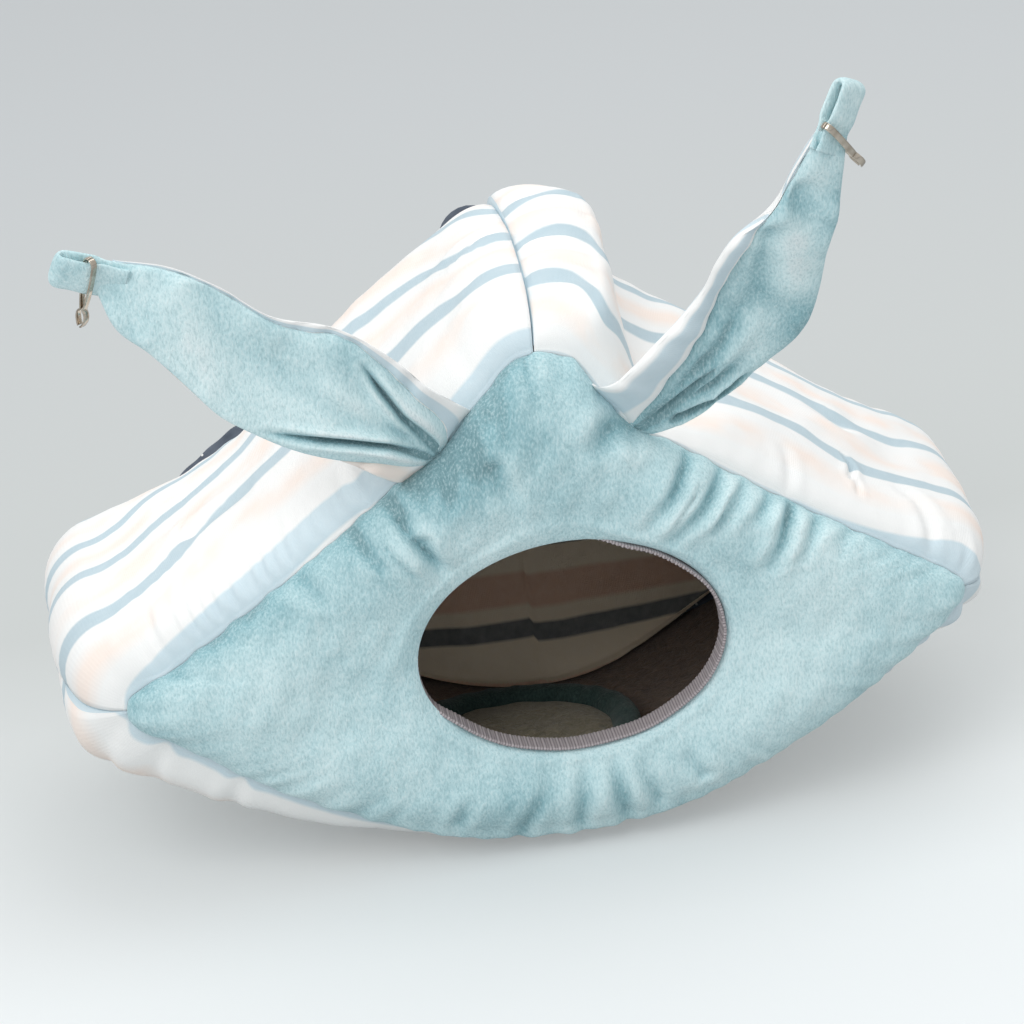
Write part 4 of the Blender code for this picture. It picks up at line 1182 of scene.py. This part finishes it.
def front_panel():
    along, place = front_rim()
    hole = entrance_point(place)
    shares = clustered(0, 1, 96)
    x, z = between(hole, place, shares)
    to_seam = np.linalg.norm(place - hole, axis=1)[:, None] * (1 - shares)
    thickness, painted_light = front_thickness(shares, x, z, along[:, None], to_seam)
    lip = LIP_OVERHANG * hidden_tape(hole)[:, None] * np.exp(-shares / 0.03)
    inward = unit(ENTRANCE_CENTRE - hole)
    x = x + inward[:, :1] * lip
    under = np.clip((0.03 - place[:, 1:]) / 0.018, 0, 1)
    z = z + inward[:, 1:] * lip - FRONT_DROOP * under * bump(shares - 0.955, 0.045)
    outer = stacked(x, FRONT_FLAT - thickness, z)
    back_shares = clustered(1, 0, 14)
    inner_x, inner_z = between(hole, place, back_shares)
    inner = stacked(inner_x, FRONT_FLAT - LINING - LAYER_GAP, inner_z)
    inner[:, 0, 1] = FRONT_FLAT - WALL_GAP
    points = np.concatenate([outer, inner], axis=1)
    painted_light = np.concatenate([painted_light, np.zeros(inner_x.shape)], axis=1)
    made = skin("front_panel", points, points[..., [0, 2]], wrap_rows=True, wrap_columns=True, painted_light=painted_light)
    dress(made, FINISH["front_plush"], "teal_plush", "house", "front_panel_cover", "front_panel_wadding")


def front_lining():
    _, place = front_rim()
    shares = np.linspace(0.004, 0.965, 20)
    x, z = between(entrance_point(place, -0.0001)[::4], place[::4], shares)
    near = stacked(x, FRONT_FLAT, z)
    far = stacked(x, FRONT_FLAT - LINING, z)[:, ::-1]
    points = np.concatenate([near, far], axis=1)
    made = skin("front_inside", points, points[..., [0, 2]], wrap_rows=True, wrap_columns=True)
    dress(made, FINISH["lining"], "striped_cotton", "house", "front_panel_lining")


def entrance_tape():
    """The ribbed tape folded round the entrance's edge."""
    turns = np.linspace(0, 2 * math.pi, 1400, endpoint=False)
    ellipse = stacked(np.cos(turns) * ENTRANCE_HALF_WIDTH, np.sin(turns) * ENTRANCE_HALF_HEIGHT)
    edge = entrance_point(ENTRANCE_CENTRE + ellipse)
    tangent = unit(np.roll(edge, -1, axis=0) - np.roll(edge, 1, axis=0))
    inward = stacked(-tangent[:, 1], tangent[:, 0])
    run = run_length(np.concatenate([edge, edge[:1]]))
    ribs = round(run[-1] / RIB_SPACING)
    wave = np.cos(2 * math.pi * ribs * run[:-1] / run[-1])
    inner_y = FRONT_Y + TAPE_LAP
    outer_y = FRONT_Y - WALL_GAP / 2 - SEAM_WALL - FRONT_PUFF_AT_ENTRANCE - TAPE_LAP
    outer_y = (outer_y + TAPE_RECESS * hidden_tape(edge))[:, None]
    middle = (inner_y + outer_y) / 2
    half_depth = (inner_y - outer_y) / 2
    sides = np.linspace(0, 2 * math.pi, 36, endpoint=False)
    across = squarish(np.cos(sides), TAPE_SQUARENESS)
    out = squarish(np.sin(sides), TAPE_SQUARENESS)
    slack = 0.00025 * ripple(run[:-1], 0.03, 81)
    ribbing = RIB_DEPTH * wave[:, None]
    reach = LAYER_GAP + TAPE / 2 + TAPE / 2 * out[None, :] + ribbing * (out[None, :] > 0) + slack[:, None]
    y = middle - half_depth * across[None, :] - ribbing * np.maximum(across, 0)[None, :]
    x = edge[:, :1] + inward[:, :1] * reach
    z = edge[:, 1:] + inward[:, 1:] * reach
    points = stacked(x, y, z)
    v = np.append(np.cumsum(np.full(len(sides), 0.0008)), 0.0)[None, :]
    uv = stacked(run[:, None], v)
    made = skin("entrance_tape", points, uv, wrap_rows=True, wrap_columns=True)
    dress(made, FINISH["tape"], "grey_tape", "house", "entrance_binding")


# Back panel

def back_outline(along):
    place, normal = outline_at(along)
    over = np.maximum(0.0, place[:, 1] - (SEAM_BOTTOM + CORNER_RISE))
    x = place[:, 0] * (1 + BACK_WIDENING) + ridge_shift(place, 1.0)[:, 0]
    z = place[:, 1] + over * BACK_RISING
    return stacked(x, z), normal


def back_rim():
    """Distances along the back panel's rim, its places and its outward directions."""
    along = np.linspace(0, OUTLINE_LENGTH, 420, endpoint=False)
    rim, normal = back_outline(along)
    return along, rim - normal * (0.0004 * (1 + ripple(along, 0.015, 91)))[:, None], normal


def back_disc(rim, shares):
    """Points from the back panel's centre out to its rim."""
    return BACK_CENTRE + (rim[:, None, :] - BACK_CENTRE) * shares[None, :, None]


def back_panel():
    along, rim, normal = back_rim()
    shares = np.sin(np.linspace(0, math.pi / 2, 80))
    outer_places = back_disc(rim, shares)
    to_seam = np.linalg.norm(rim - BACK_CENTRE, axis=1)[:, None] * (1 - shares)
    x, z = outer_places[..., 0], outer_places[..., 1]
    shape = folds(x, z, BACK_FOLDS) + seam_puckers(along[:, None], to_seam, 0.0014, 0.015, 0.013, 92)
    shape = shape + 0.001 * undulation(x, z, 0.06, 93)
    body = EDGE_THICKNESS + (SEAM_WALL - EDGE_THICKNESS + BACK_PUFF) * puff_profile(shares)
    outer_y = BACK_FLAT + body + puff_profile(shares) ** 0.6 * shape
    outer_y[:, 0] = outer_y[:, 0].mean()
    over_seam = BACK_OVERHANG + RIDGE_OVERHANG * bump(rim[:, 0] - 0.009, 0.018)
    over_seam = over_seam + LEFT_OVERHANG * bump(rim[:, 0] + 0.118, 0.034)
    over_seam = over_seam * (rim[:, 0] < 0.004) * (rim[:, 1] > SEAM_BOTTOM + CORNER_RISE)
    for _ in range(12):
        over_seam = (np.roll(over_seam, 1) + over_seam + np.roll(over_seam, -1)) / 3
    swell = over_seam[:, None] * bump(shares[None, :] - 0.955, 0.035)
    x = x + normal[:, :1] * swell
    z = z + normal[:, 1:] * swell
    outer = stacked(x, outer_y, z)
    inner_places = back_disc(rim, shares[::-4])
    inner_y = np.full(inner_places.shape[:2], BACK_FLAT + LINING + LAYER_GAP)
    inner_y[:, 0] = BACK_FLAT + WALL_GAP
    inner = stacked(inner_places[..., 0], inner_y, inner_places[..., 1])
    points = np.concatenate([outer, inner], axis=1)
    made = skin("back_panel", points, points[..., [0, 2]], wrap_rows=True)
    dress(made, FINISH["slate"], "slate_cotton", "house", "back_panel_cover", "back_panel_wadding")


def back_lining():
    """The lining with its centre seam, hanging loose and forward over the floor at its lower edge."""
    _, rim, _ = back_rim()
    shares = np.linspace(0, 0.985, 60)
    places = back_disc(rim, shares)
    x, z = places[..., 0], places[..., 1]
    seam_x = 0.006
    seam = 0.0009 * bump(x - seam_x, 0.0014)
    loose = 0.0016 * (1 - shares**4) * undulation(x, z, 0.07, 95) + 0.0005 * undulation(x, z, 0.024, 96)
    near_y = BACK_FLAT + np.minimum(0, -np.abs(loose)) * (1 - shares**6) + seam
    near = stacked(x, near_y, z)
    near[:, 0, 1] = near[:, 0, 1].mean()
    far = stacked(x, near_y + LINING, z)[:, ::-1]
    far[:, -1, 1] = far[:, -1, 1].mean()
    points = np.concatenate([near, far], axis=1)
    height = points[..., 2] - 0.001 + np.where(points[..., 0] > seam_x, 0.0018, 0.0)
    low = np.clip(1 - (points[..., 2] - LOOSE_HEM) / LOOSE_REACH, 0, 1)
    level = floor_height(np.clip(points[..., 0], -0.12, 0.12)) + 0.0012
    inside = bump(points[..., 0] - 0.01, LOOSE_HALF_WIDTH) ** 2
    points[..., 1] -= LOOSE_FORWARD * inside * low**1.6
    lifted = np.maximum(points[..., 2], level) - points[..., 2]
    points[..., 2] += lifted * np.clip(inside * 5, 0, 1) * (low > 0)
    uv = stacked(points[..., 0], height)
    made = skin("back_inside", points, uv, wrap_rows=True)
    dress(made, FINISH["lining"], "striped_cotton", "house", "back_panel_lining")


# Ears

def ear_axes(side, rise, lean, roll):
    """An ear's frame: x outward and up by rise, leaning forward by lean, its face turned by roll."""
    rise, lean, roll = map(math.radians, (rise, lean, roll))
    along = Vector((side * math.cos(rise) * math.cos(lean), -math.sin(lean), math.sin(rise) * math.cos(lean)))
    face = Vector((0, -1, 0)) - along * Vector((0, -1, 0)).dot(along)
    face.normalize()
    face.rotate(Matrix.Rotation(-side * roll, 3, along))
    across = face.cross(along)
    return Matrix((along, across, face)).transposed()


def placed(axes, point):
    return Matrix.Translation(Vector(point)) @ axes.to_4x4()


def ear_frames(name):
    """Where an ear bends, and where its strap loop starts."""
    side = SIDE[name]
    place, normal = outline_at(outline_point_at_x(side * EAR_SEAM_X))
    centre = place + normal * (ROOT_RADIUS + LAYER_GAP)
    axes = ear_axes(side, *EAR_STANCE[name])
    swing = placed(axes, (centre[0], FRONT_Y - EAR_PLANE, centre[1]))
    turned = axes.transposed() @ ear_axes(side, *LOOP_STANCE[name])
    root_half = STRAP + SLOT_GAP / 2 * SLOT_PINCH
    reach_back = STRAP_HALF_WIDTH * abs(turned[0][1]) + root_half * abs(turned[0][2])
    tip = swing @ placed(turned, (EAR_LENGTH + LAYER_GAP + WALL_GAP + reach_back, 0, 0))
    return swing, tip @ placed(Matrix.Rotation(math.radians(STRAP_TWIST[name]), 3, "X"), (0, 0, 0))


def ear_middle(name, x, y, upper, lower):
    """Height of an ear's middle surface over its plane: cupped, and a little uneven."""
    share = np.where(y > 0, y / upper, y / lower)
    forward = np.where(y > 0, *EAR_CUP[name])
    out = np.clip((x - EAR_START) / 0.03, 0, 1) * np.clip((EAR_END - x) / 0.03, 0, 1)
    sway = 0.0018 * undulation(x, y, 0.055, 101 if name == "left" else 111)
    return out * (forward * share**2 + sway)


def sewn(name, swing, x, y, height):
    """World places of an ear's points, which leave the front seam and then follow the ear's own plane."""
    side = SIDE[name]
    root = outline_point_at_x(side * EAR_SEAM_X)
    place, normal = outline_at(root - side * y)
    place = place + settle(place)
    under = 0.0012
    out = height * 0.4 - under
    seam = stacked(
        place[..., 0] + normal[..., 0] * out,
        FRONT_Y - 0.0006 - height * 0.3,
        place[..., 1] + normal[..., 1] * out,
    )
    local = stacked(x, side * y, height)
    matrix = np.array(swing)
    plane = local @ matrix[:3, :3].T + matrix[:3, 3]
    share = ease(np.clip((x - EAR_START) / EAR_SEWN_REACH, 0, 1)[..., None])
    return seam * (1 - share) + plane * share


def ear_leaf(name, part, swing, x, upper, lower, heights, printed, finish, slot, nodes):
    """One closed layer of an ear from its edges and its front and back heights."""
    v = np.sin(np.linspace(-math.pi / 2, math.pi / 2, 141))[None, :]
    y = (upper - lower) / 2 + (upper + lower) / 2 * v
    x = x + 0 * y
    front, back, painted_light = heights(x, y, v)

    def both_sides(front, back):
        """Columns of the front, and then those of the back the other way round."""
        return np.concatenate([front, back[:, ::-1][:, 1:-1]], axis=1)

    round_y = both_sides(y, y)
    points = sewn(name, swing, both_sides(x, x), round_y, both_sides(front, back))
    uv = stacked(both_sides(x, x), printed(round_y))
    painted_light = both_sides(painted_light, 0 * back)
    made = skin(f"{name}_ear_{part}", points, uv, wrap_columns=True, caps=True, painted_light=painted_light)
    dress(made, FINISH[finish], slot, None, *nodes)
    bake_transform(made)


def ear(name):
    swing, tip = ear_frames(name)
    x = clustered(EAR_START, EAR_END, 190)[:, None]
    edges = {key: smooth_curve(x, table) for key, table in EAR_EDGES[name].items()}
    seed = 121 if name == "left" else 131
    end_fill = 0.35 + 0.65 * np.clip((EAR_END - x) / 0.03, 0, 1) ** 0.6
    root_fill = 0.45 + 0.55 * np.clip((x - EAR_START) / 0.03, 0, 1)
    widest = (edges["back_upper"], np.maximum(edges["face_lower"], edges["back_lower"]))

    def rounded(v):
        return np.clip(1 - np.abs(v) ** 2.6, 0, 1) ** 0.5 * end_fill * root_fill

    def face_heights(x, y, v):
        surface = ear_middle(name, x, y, *widest)
        live = np.clip(1 - v**6, 0, 1)
        shape = (folds(x, y, EAR_FOLDS[name]) + creases(x, y, EAR_CREASES[name])) * live
        fine = 0.0008 * undulation(x, y, 0.024, seed) * live
        half = (edges["face_upper"] + edges["face_lower"]) / 2
        nip = 0.0008 * ripple(x, 0.01, seed + 1) * np.exp(-(1 - np.abs(v)) * half / 0.005) * live
        filled = 0.0003 + EAR_THICKNESS * rounded(v)
        front = surface + np.maximum(filled + shape + fine + nip, 0.0004)
        # Painted light and shade on the ear's plush: painted shade in its folds and creases, painted
        # highlights on the folds' backs, and the table's painted patches
        patches = tone_patches(x, y, EAR_LIGHT_AND_SHADE[name])
        crease_shade = near_creases(x, y, EAR_CREASES[name], 0.0015)
        painted_light = np.clip((shape + nip) / 0.009, -0.6, 0.4) + patches - 0.55 * crease_shade
        return front, surface + 0.0001 + 0 * v, painted_light

    def back_heights(x, y, v):
        surface = ear_middle(name, x, y, *widest)
        bulged = 0.0
        for edge, limit in (("face_upper", "back_upper"), ("face_lower", "back_lower")):
            inner, outer = edges[edge], edges[limit]
            outward = y if limit == "back_upper" else -y
            strip = np.clip((outward - inner + 0.001) / np.maximum(outer - inner + 0.001, 1e-5), 0, 1)
            size = np.clip((outer - inner) * 0.36, 0, 0.0046)
            bulged = bulged + size * np.sqrt(np.clip(1 - (2 * strip - 1) ** 2, 0, 1))
        wrinkle = 0.0007 * ripple(x, 0.012, seed + 4) * (bulged > 0.0004)
        tucks = 0.0009 * undulation(x, y, 0.026, seed + 2) * np.clip(1 - v**6, 0, 1)
        front = surface - 0.0002 + bulged + wrinkle
        return front, surface - 0.0004 - EAR_THICKNESS * 0.8 * rounded(v) + tucks, 0 * v + 0 * x

    def printed(y):
        """The backing's pattern, whose pale band follows the strip that shows beside the plush."""
        inner, outer = edges["face_upper"], edges["back_upper"]
        strip = (y - inner) / np.maximum(outer - inner, 0.001) + (0.3 if name == "left" else 0.0)
        return np.where(y > inner, 0.04 + 0.02 * strip, y)

    ear_leaf(name, "plush", swing, x, edges["face_upper"], edges["face_lower"], face_heights, lambda y: y,
             "ear_plush", "teal_plush", (f"{name}_ear_face", f"{name}_ear_wadding", f"{name}_ear_root"))
    back_x = np.minimum(x, EAR_END - 0.003 + 0.003 * (x - EAR_START) / (EAR_END - EAR_START))
    ear_leaf(name, "backing", swing, back_x, edges["back_upper"], edges["back_lower"], back_heights, printed,
             "ear_cotton", "striped_cotton", (f"{name}_ear_back",))
    strap_loop(f"{name}_ear_strap", FRONT_LOOP_ROOT, FRONT_SLOT_LENGTH, straight, tip, f"{name}_ear",
               f"{name}_ear_loop", 141, sunk=0.006)


# Strap loops

def straight(x):
    return 0.0 * x


def arched(x):
    return (x / REAR_LOOP_ARCH) ** 2 * REAR_LOOP_ARCH / 2


def strap_path(slot_start, slot_length, spine, sunk):
    """The strap's own middle line, from its lower end round the bend to its upper end."""
    gap = PLUSH_SLOT / 2
    bend_x = slot_start + slot_length - gap
    x = np.linspace(-sunk, bend_x, 30)
    opened = np.clip((x - slot_start) / SLOT_OPENS_IN, SLOT_PINCH, 1)
    height = gap * opened + PLUSH_STRAP / 2
    lower = stacked(x, spine(x) - height)
    upper = stacked(x, spine(x) + height)
    slope = math.atan2(spine(bend_x) - spine(bend_x - STRAP), STRAP)
    turns = np.linspace(-math.pi / 2, math.pi / 2, 15)[1:-1] + slope
    middle = np.array([bend_x, spine(bend_x)])
    bend = middle + (gap + PLUSH_STRAP / 2) * stacked(np.cos(turns), np.sin(turns))
    path = np.concatenate([lower, bend, upper[::-1]])
    for _ in range(2):
        path[1:-1] = (path[:-2] + 2 * path[1:-1] + path[2:]) / 4
    return path


def strap_loop(name, slot_start, slot_length, spine, tip, body, node, seed, sunk=0.0):
    """A plush strap with soft rounded edges, folded on itself; its ends lie sunk in what it is sewn to."""
    path = strap_path(slot_start, slot_length, spine, sunk)
    tangent = unit(np.gradient(path, axis=0))
    normal = stacked(tangent[:, 1], -tangent[:, 0])
    run = run_length(path)
    sides = np.linspace(0, 2 * math.pi, 40, endpoint=False)
    across = squarish(np.cos(sides), 0.62)
    out = squarish(np.sin(sides), 0.7)
    at_bend = bump(run - run[-1] / 2, 0.0035)
    width = STRAP_HALF_WIDTH * (1 - 0.03 * (1 + ripple(run, 0.012, seed)) - 0.1 * at_bend)
    middle_bulge = 1 - 0.2 * np.abs(across) ** 4
    depth = PLUSH_STRAP / 2 * middle_bulge[None, :] * out[None, :]
    points = stacked(
        path[:, :1] + normal[:, :1] * depth,
        width[:, None] * across[None, :],
        path[:, 1:] + normal[:, 1:] * depth,
    )
    uv = stacked(run[:, None], (across * STRAP_HALF_WIDTH)[None, :])
    made = skin(name, points, uv, wrap_columns=True, caps=True, matrix=tip)
    dress(made, FINISH["strap_plush"], "teal_plush", body, node)


def rear_frame(name):
    """Where a rear strap loop swings."""
    place, normal = outline_at(outline_point_at_x(SIDE[name] * REAR_SEAM_X))
    over = max(0.0, place[1] - (SEAM_BOTTOM + CORNER_RISE))
    on_back = np.array([place[0] * (1 + BACK_WIDENING), place[1] + over * BACK_RISING])
    start = on_back + normal * REAR_LOOP_STAND
    set_back = math.radians(REAR_LOOP_SET_BACK)
    outward = Vector((normal[0], 0, normal[1]))
    along = outward * math.cos(set_back) + Vector((0, math.sin(set_back), 0))
    across = Vector((normal[1], 0, -normal[0]))
    axes = Matrix((along, across, along.cross(across))).transposed()
    return placed(axes, (start[0], BACK_Y + SEAM_WALL / 2, start[1]))


def rear_straps():
    for name in SIDE:
        strap_loop(f"{name}_rear_strap_loop", REAR_LOOP_ROOT, REAR_SLOT_LENGTH, arched, rear_frame(name),
                   f"{name}_rear_strap", f"{name}_rear_loop", 151)


# Clips

def clip_frame(name, place):
    """A clip's frame: x from its fold to its lips, y across the strip, z from one leg to the other."""
    side = SIDE[name]
    strap_z = SLOT_GAP / 2 + STRAP / 2
    if place == "ear_clip":
        hang = -side
        slot_middle = FRONT_LOOP_ROOT + FRONT_CLIP_PLACE[name] * FRONT_SLOT_LENGTH
        holder = ear_frames(name)[1] @ placed(Matrix.Identity(3), (slot_middle, 0, 0))
    else:
        hang = side
        slot_middle = REAR_LOOP_ROOT + REAR_CLIP_PLACE * REAR_SLOT_LENGTH
        slope = math.atan2(2 * arched(slot_middle), slot_middle)
        level = placed(Matrix.Rotation(-slope, 3, "Y"), (slot_middle, 0, arched(slot_middle)))
        holder = rear_frame(name) @ level
    rock = math.radians(CLIP_ROCK.get(f"{name}_{place}", 0.0) * hang)
    rocked = holder @ placed(Matrix.Rotation(rock, 3, "Z"), (0, 0, strap_z))
    top = -hang * (STRAP_HALF_WIDTH + CLIP_FOLD_CLEAR + CLIP_STRIP / 2)
    return rocked @ placed(Matrix(((0, -hang, 0), (hang, 0, 0), (0, 0, 1))), (0, top, 0))


def half_gap(share):
    """Half the distance between a clip's legs, from 0 at its fold to 1 at its lips."""
    taper = CLIP_FOLD_HALF + (CLIP_NECK_HALF - CLIP_FOLD_HALF) * (share / CLIP_NECK_AT) ** 2.2
    beyond = np.clip((share - CLIP_NECK_AT) / (1 - CLIP_NECK_AT), 0, 1)
    flare = np.clip(np.sin(math.pi * beyond**0.75), 0, 1) ** 0.8
    lips = CLIP_NECK_HALF + (CLIP_LIP_HALF - CLIP_NECK_HALF) * flare
    return np.where(share < CLIP_NECK_AT, taper, lips)


def clip_leg(name, facing, frame_matrix, skew, body, node):
    """Half of a bent strip with rounded edges, from its fold to its lips."""
    turns = np.linspace(math.asin(CLIP_SPLIT / CLIP_FOLD_HALF), math.pi / 2, 12)
    fold_path = stacked(CLIP_FOLD_HALF * (1 - np.cos(turns)), CLIP_FOLD_HALF * np.sin(turns))
    shares = np.linspace(0, 1, 60)[1:]
    leg_x = CLIP_FOLD_HALF + (CLIP_LENGTH - CLIP_FOLD_HALF) * shares
    path = np.concatenate([fold_path, stacked(leg_x, half_gap(shares))])
    tangent = unit(np.gradient(path, axis=0))
    sides = np.linspace(0, 2 * math.pi, 24, endpoint=False)
    across = squarish(np.cos(sides), 0.7) * CLIP_WIDTH / 2
    out = squarish(np.sin(sides), 0.9) * CLIP_STRIP / 2
    x = path[:, :1] - tangent[:, 1:] * out
    z = facing * (path[:, 1:] + tangent[:, :1] * out)
    y = across[None, :] + 0 * x
    turn = math.radians(skew)
    turned_y = y * math.cos(turn) + z * math.sin(turn)
    turned_z = z * math.cos(turn) - y * math.sin(turn)
    points = stacked(x, turned_y, turned_z)
    uv = stacked(path[:, :1], across[None, :])
    made = skin(name, points, uv, wrap_columns=True, caps=True, matrix=frame_matrix)
    dress(made, FINISH["steel"], "nickel_steel", body, node)


def clips():
    """Spring-steel clips, each folded over one layer of its strap."""
    for place in ("ear_clip", "rear_loop_clip"):
        for name in SIDE:
            clip = f"{name}_{place}"
            frame_matrix = clip_frame(name, place)
            skew = CLIP_SKEW.get(clip, 0.0)
            clip_leg(f"{clip}_back", -1, frame_matrix, skew, clip, f"{clip}_back_leg")
            clip_leg(f"{clip}_spring_front", 1, frame_matrix, skew, f"{clip}_spring", f"{clip}_spring_leg")


# Floor cushion

def floor_height(x):
    under = np.linspace(CORNER_ALONG, OUTLINE_LENGTH - CORNER_ALONG, 200)[::-1]
    place, normal = outline_at(under)
    inside = place - normal * (SEAM_WALL + INNER_PUFF)
    return np.interp(x, inside[:, 0], inside[:, 1]) + 2 * LAYER_GAP


def cushion_border(turns):
    roll = np.linspace(0, 2 * math.pi, 40, endpoint=False)[None, :]
    gathers = 1 + 0.035 * ripple(turns * 0.045, 0.011, 161)
    inset = BORDER_WIDTH / 2 * (1 - np.cos(roll) * gathers)
    x = CUSHION_CENTRE[0] + (CUSHION_HALVES[0] - inset) * np.cos(turns)
    y = CUSHION_CENTRE[1] + (CUSHION_HALVES[1] - inset) * np.sin(turns)
    lift = squarish(np.sin(roll), 0.85)
    z = floor_height(x) + BORDER_HEIGHT / 2 * (1 + lift * np.where(lift > 0, gathers, 1.0))
    points = stacked(x, y, z)
    uv = np.zeros((len(turns) + 1, roll.shape[1] + 1, 2))
    uv[..., 0] = np.linspace(0, 0.28, len(turns) + 1)[:, None]
    uv[..., 1] = np.linspace(0, 0.044, roll.shape[1] + 1)[None, :]
    made = skin("cushion_roll", points, uv, wrap_rows=True, wrap_columns=True)
    dress(made, FINISH["border_plush"], "dark_plush", "cushion", "cushion_border")


def cushion_pad(turns):
    shares = np.sin(np.linspace(0, math.pi / 2, 40))[None, :]

    def oval(shares):
        return [
            middle + (half - PAD_INSET) * shares * wave(turns)
            for middle, half, wave in zip(CUSHION_CENTRE, CUSHION_HALVES, (np.cos, np.sin))
        ]

    top_x, top_y = oval(shares)
    crown = (PAD_HEIGHT + PAD_CROWN) * np.clip(1 - shares**3.2, 0, 1) ** 0.5
    dimples = 0.0007 * undulation(top_x, top_y, 0.02, 162) * (1 - shares**4)
    top_z = floor_height(top_x) + np.maximum(crown + dimples, 0.003)
    low_x, low_y = oval(shares[:, ::-1][:, 1:])
    low_z = floor_height(low_x) + 0.0002
    top = stacked(top_x, top_y, top_z)
    low = stacked(low_x, low_y, low_z)
    points = np.concatenate([top, low], axis=1)
    points[:, 0, 2] = points[:, 0, 2].mean()
    made = skin("cushion_top", points, points[..., :2], wrap_rows=True)
    dress(made, FINISH["cream_fleece"], "cream_fleece", "cushion", "cushion_pad")


# Studio

def floor():
    size = 30.0
    mesh = bpy.data.meshes.new("studio_floor")
    corners = [(-size, -size, 0), (size, -size, 0), (size, size, 0), (-size, size, 0)]
    mesh.from_pydata(corners, [], [(0, 1, 2, 3)])
    obj = add_object("studio_floor", mesh)
    nodes = Nodes("studio_floor")
    depth = nodes.axis(nodes.mapped(), "Y")
    share = nodes.math("ADD", nodes.math("MULTIPLY", depth, 0.5), 0.5)
    stops = [(0.25, srgb(241, 244, 246)), (0.43, srgb(231, 235, 236)), (0.6, srgb(200, 204, 203))]
    colour = nodes.ramp(share, stops + [(1.0, srgb(200, 204, 206))])
    glow = nodes.math("MULTIPLY", nodes.node("LightPath").outputs["Is Camera Ray"], FLOOR_GLOW)
    lit = nodes.mix(1.0, colour, (1 - FLOOR_GLOW, 1 - FLOOR_GLOW, 1 - FLOOR_GLOW, 1.0), "MULTIPLY")
    painted = nodes.finish(lit, 0.6, Specular_IOR_Level=0.1, Emission_Color=colour, Emission_Strength=glow)
    obj.data.materials.append(painted)


def lamp(name, place, target, size, watts):
    data = bpy.data.lights.new(name, "AREA")
    data.shape = "SQUARE"
    data.size = size
    data.energy = watts
    obj = add_object(name, data)
    obj.location = place
    way = Vector(target) - Vector(place)
    obj.rotation_euler = way.to_track_quat("-Z", "Y").to_euler()


def lights():
    world = bpy.data.worlds.new("studio")
    bpy.context.scene.world = world
    world.use_nodes = True
    backdrop = world.node_tree.nodes["Background"]
    backdrop.inputs["Color"].default_value = (0.985, 0.995, 1.0, 1.0)
    backdrop.inputs["Strength"].default_value = 0.72
    lamp("key", (-1.1, -1.3, 1.9), (0, 0, 0.1), 1.5, 23.5)
    lamp("top", (0.5, 0.4, 1.9), (0, 0, 0.1), 1.6, 11.0)


def camera():
    azimuth, elevation, roll = map(math.radians, (CAMERA_AZIMUTH, CAMERA_ELEVATION, CAMERA_ROLL))
    back = Vector((
        math.sin(azimuth) * math.cos(elevation), -math.cos(azimuth) * math.cos(elevation), math.sin(elevation)
    ))
    right = (-back).cross(Vector((0, 0, 1))).normalized()
    up = right.cross(-back)
    image_right = right * math.cos(roll) + up * math.sin(roll)
    image_up = up * math.cos(roll) - right * math.sin(roll)
    data = bpy.data.cameras.new("camera")
    data.sensor_width = SENSOR_MM
    data.lens = FOCAL_PIXELS / IMAGE_PIXELS * SENSOR_MM
    obj = add_object("camera", data)
    place = Vector(CAMERA_TARGET) + back * CAMERA_DISTANCE
    obj.matrix_world = placed(Matrix((image_right, image_up, back)).transposed(), place)
    bpy.context.scene.camera = obj


camera()
roofs_and_base()
front_panel()
front_lining()
entrance_tape()
back_panel()
back_lining()
ear("left")
ear("right")
rear_straps()
clips()
cushion_turns = np.linspace(0, 2 * math.pi, 220, endpoint=False)[:, None]
cushion_border(cushion_turns)
cushion_pad(cushion_turns)
floor()
lights()
bpy.context.scene.view_settings.view_transform = "Standard"
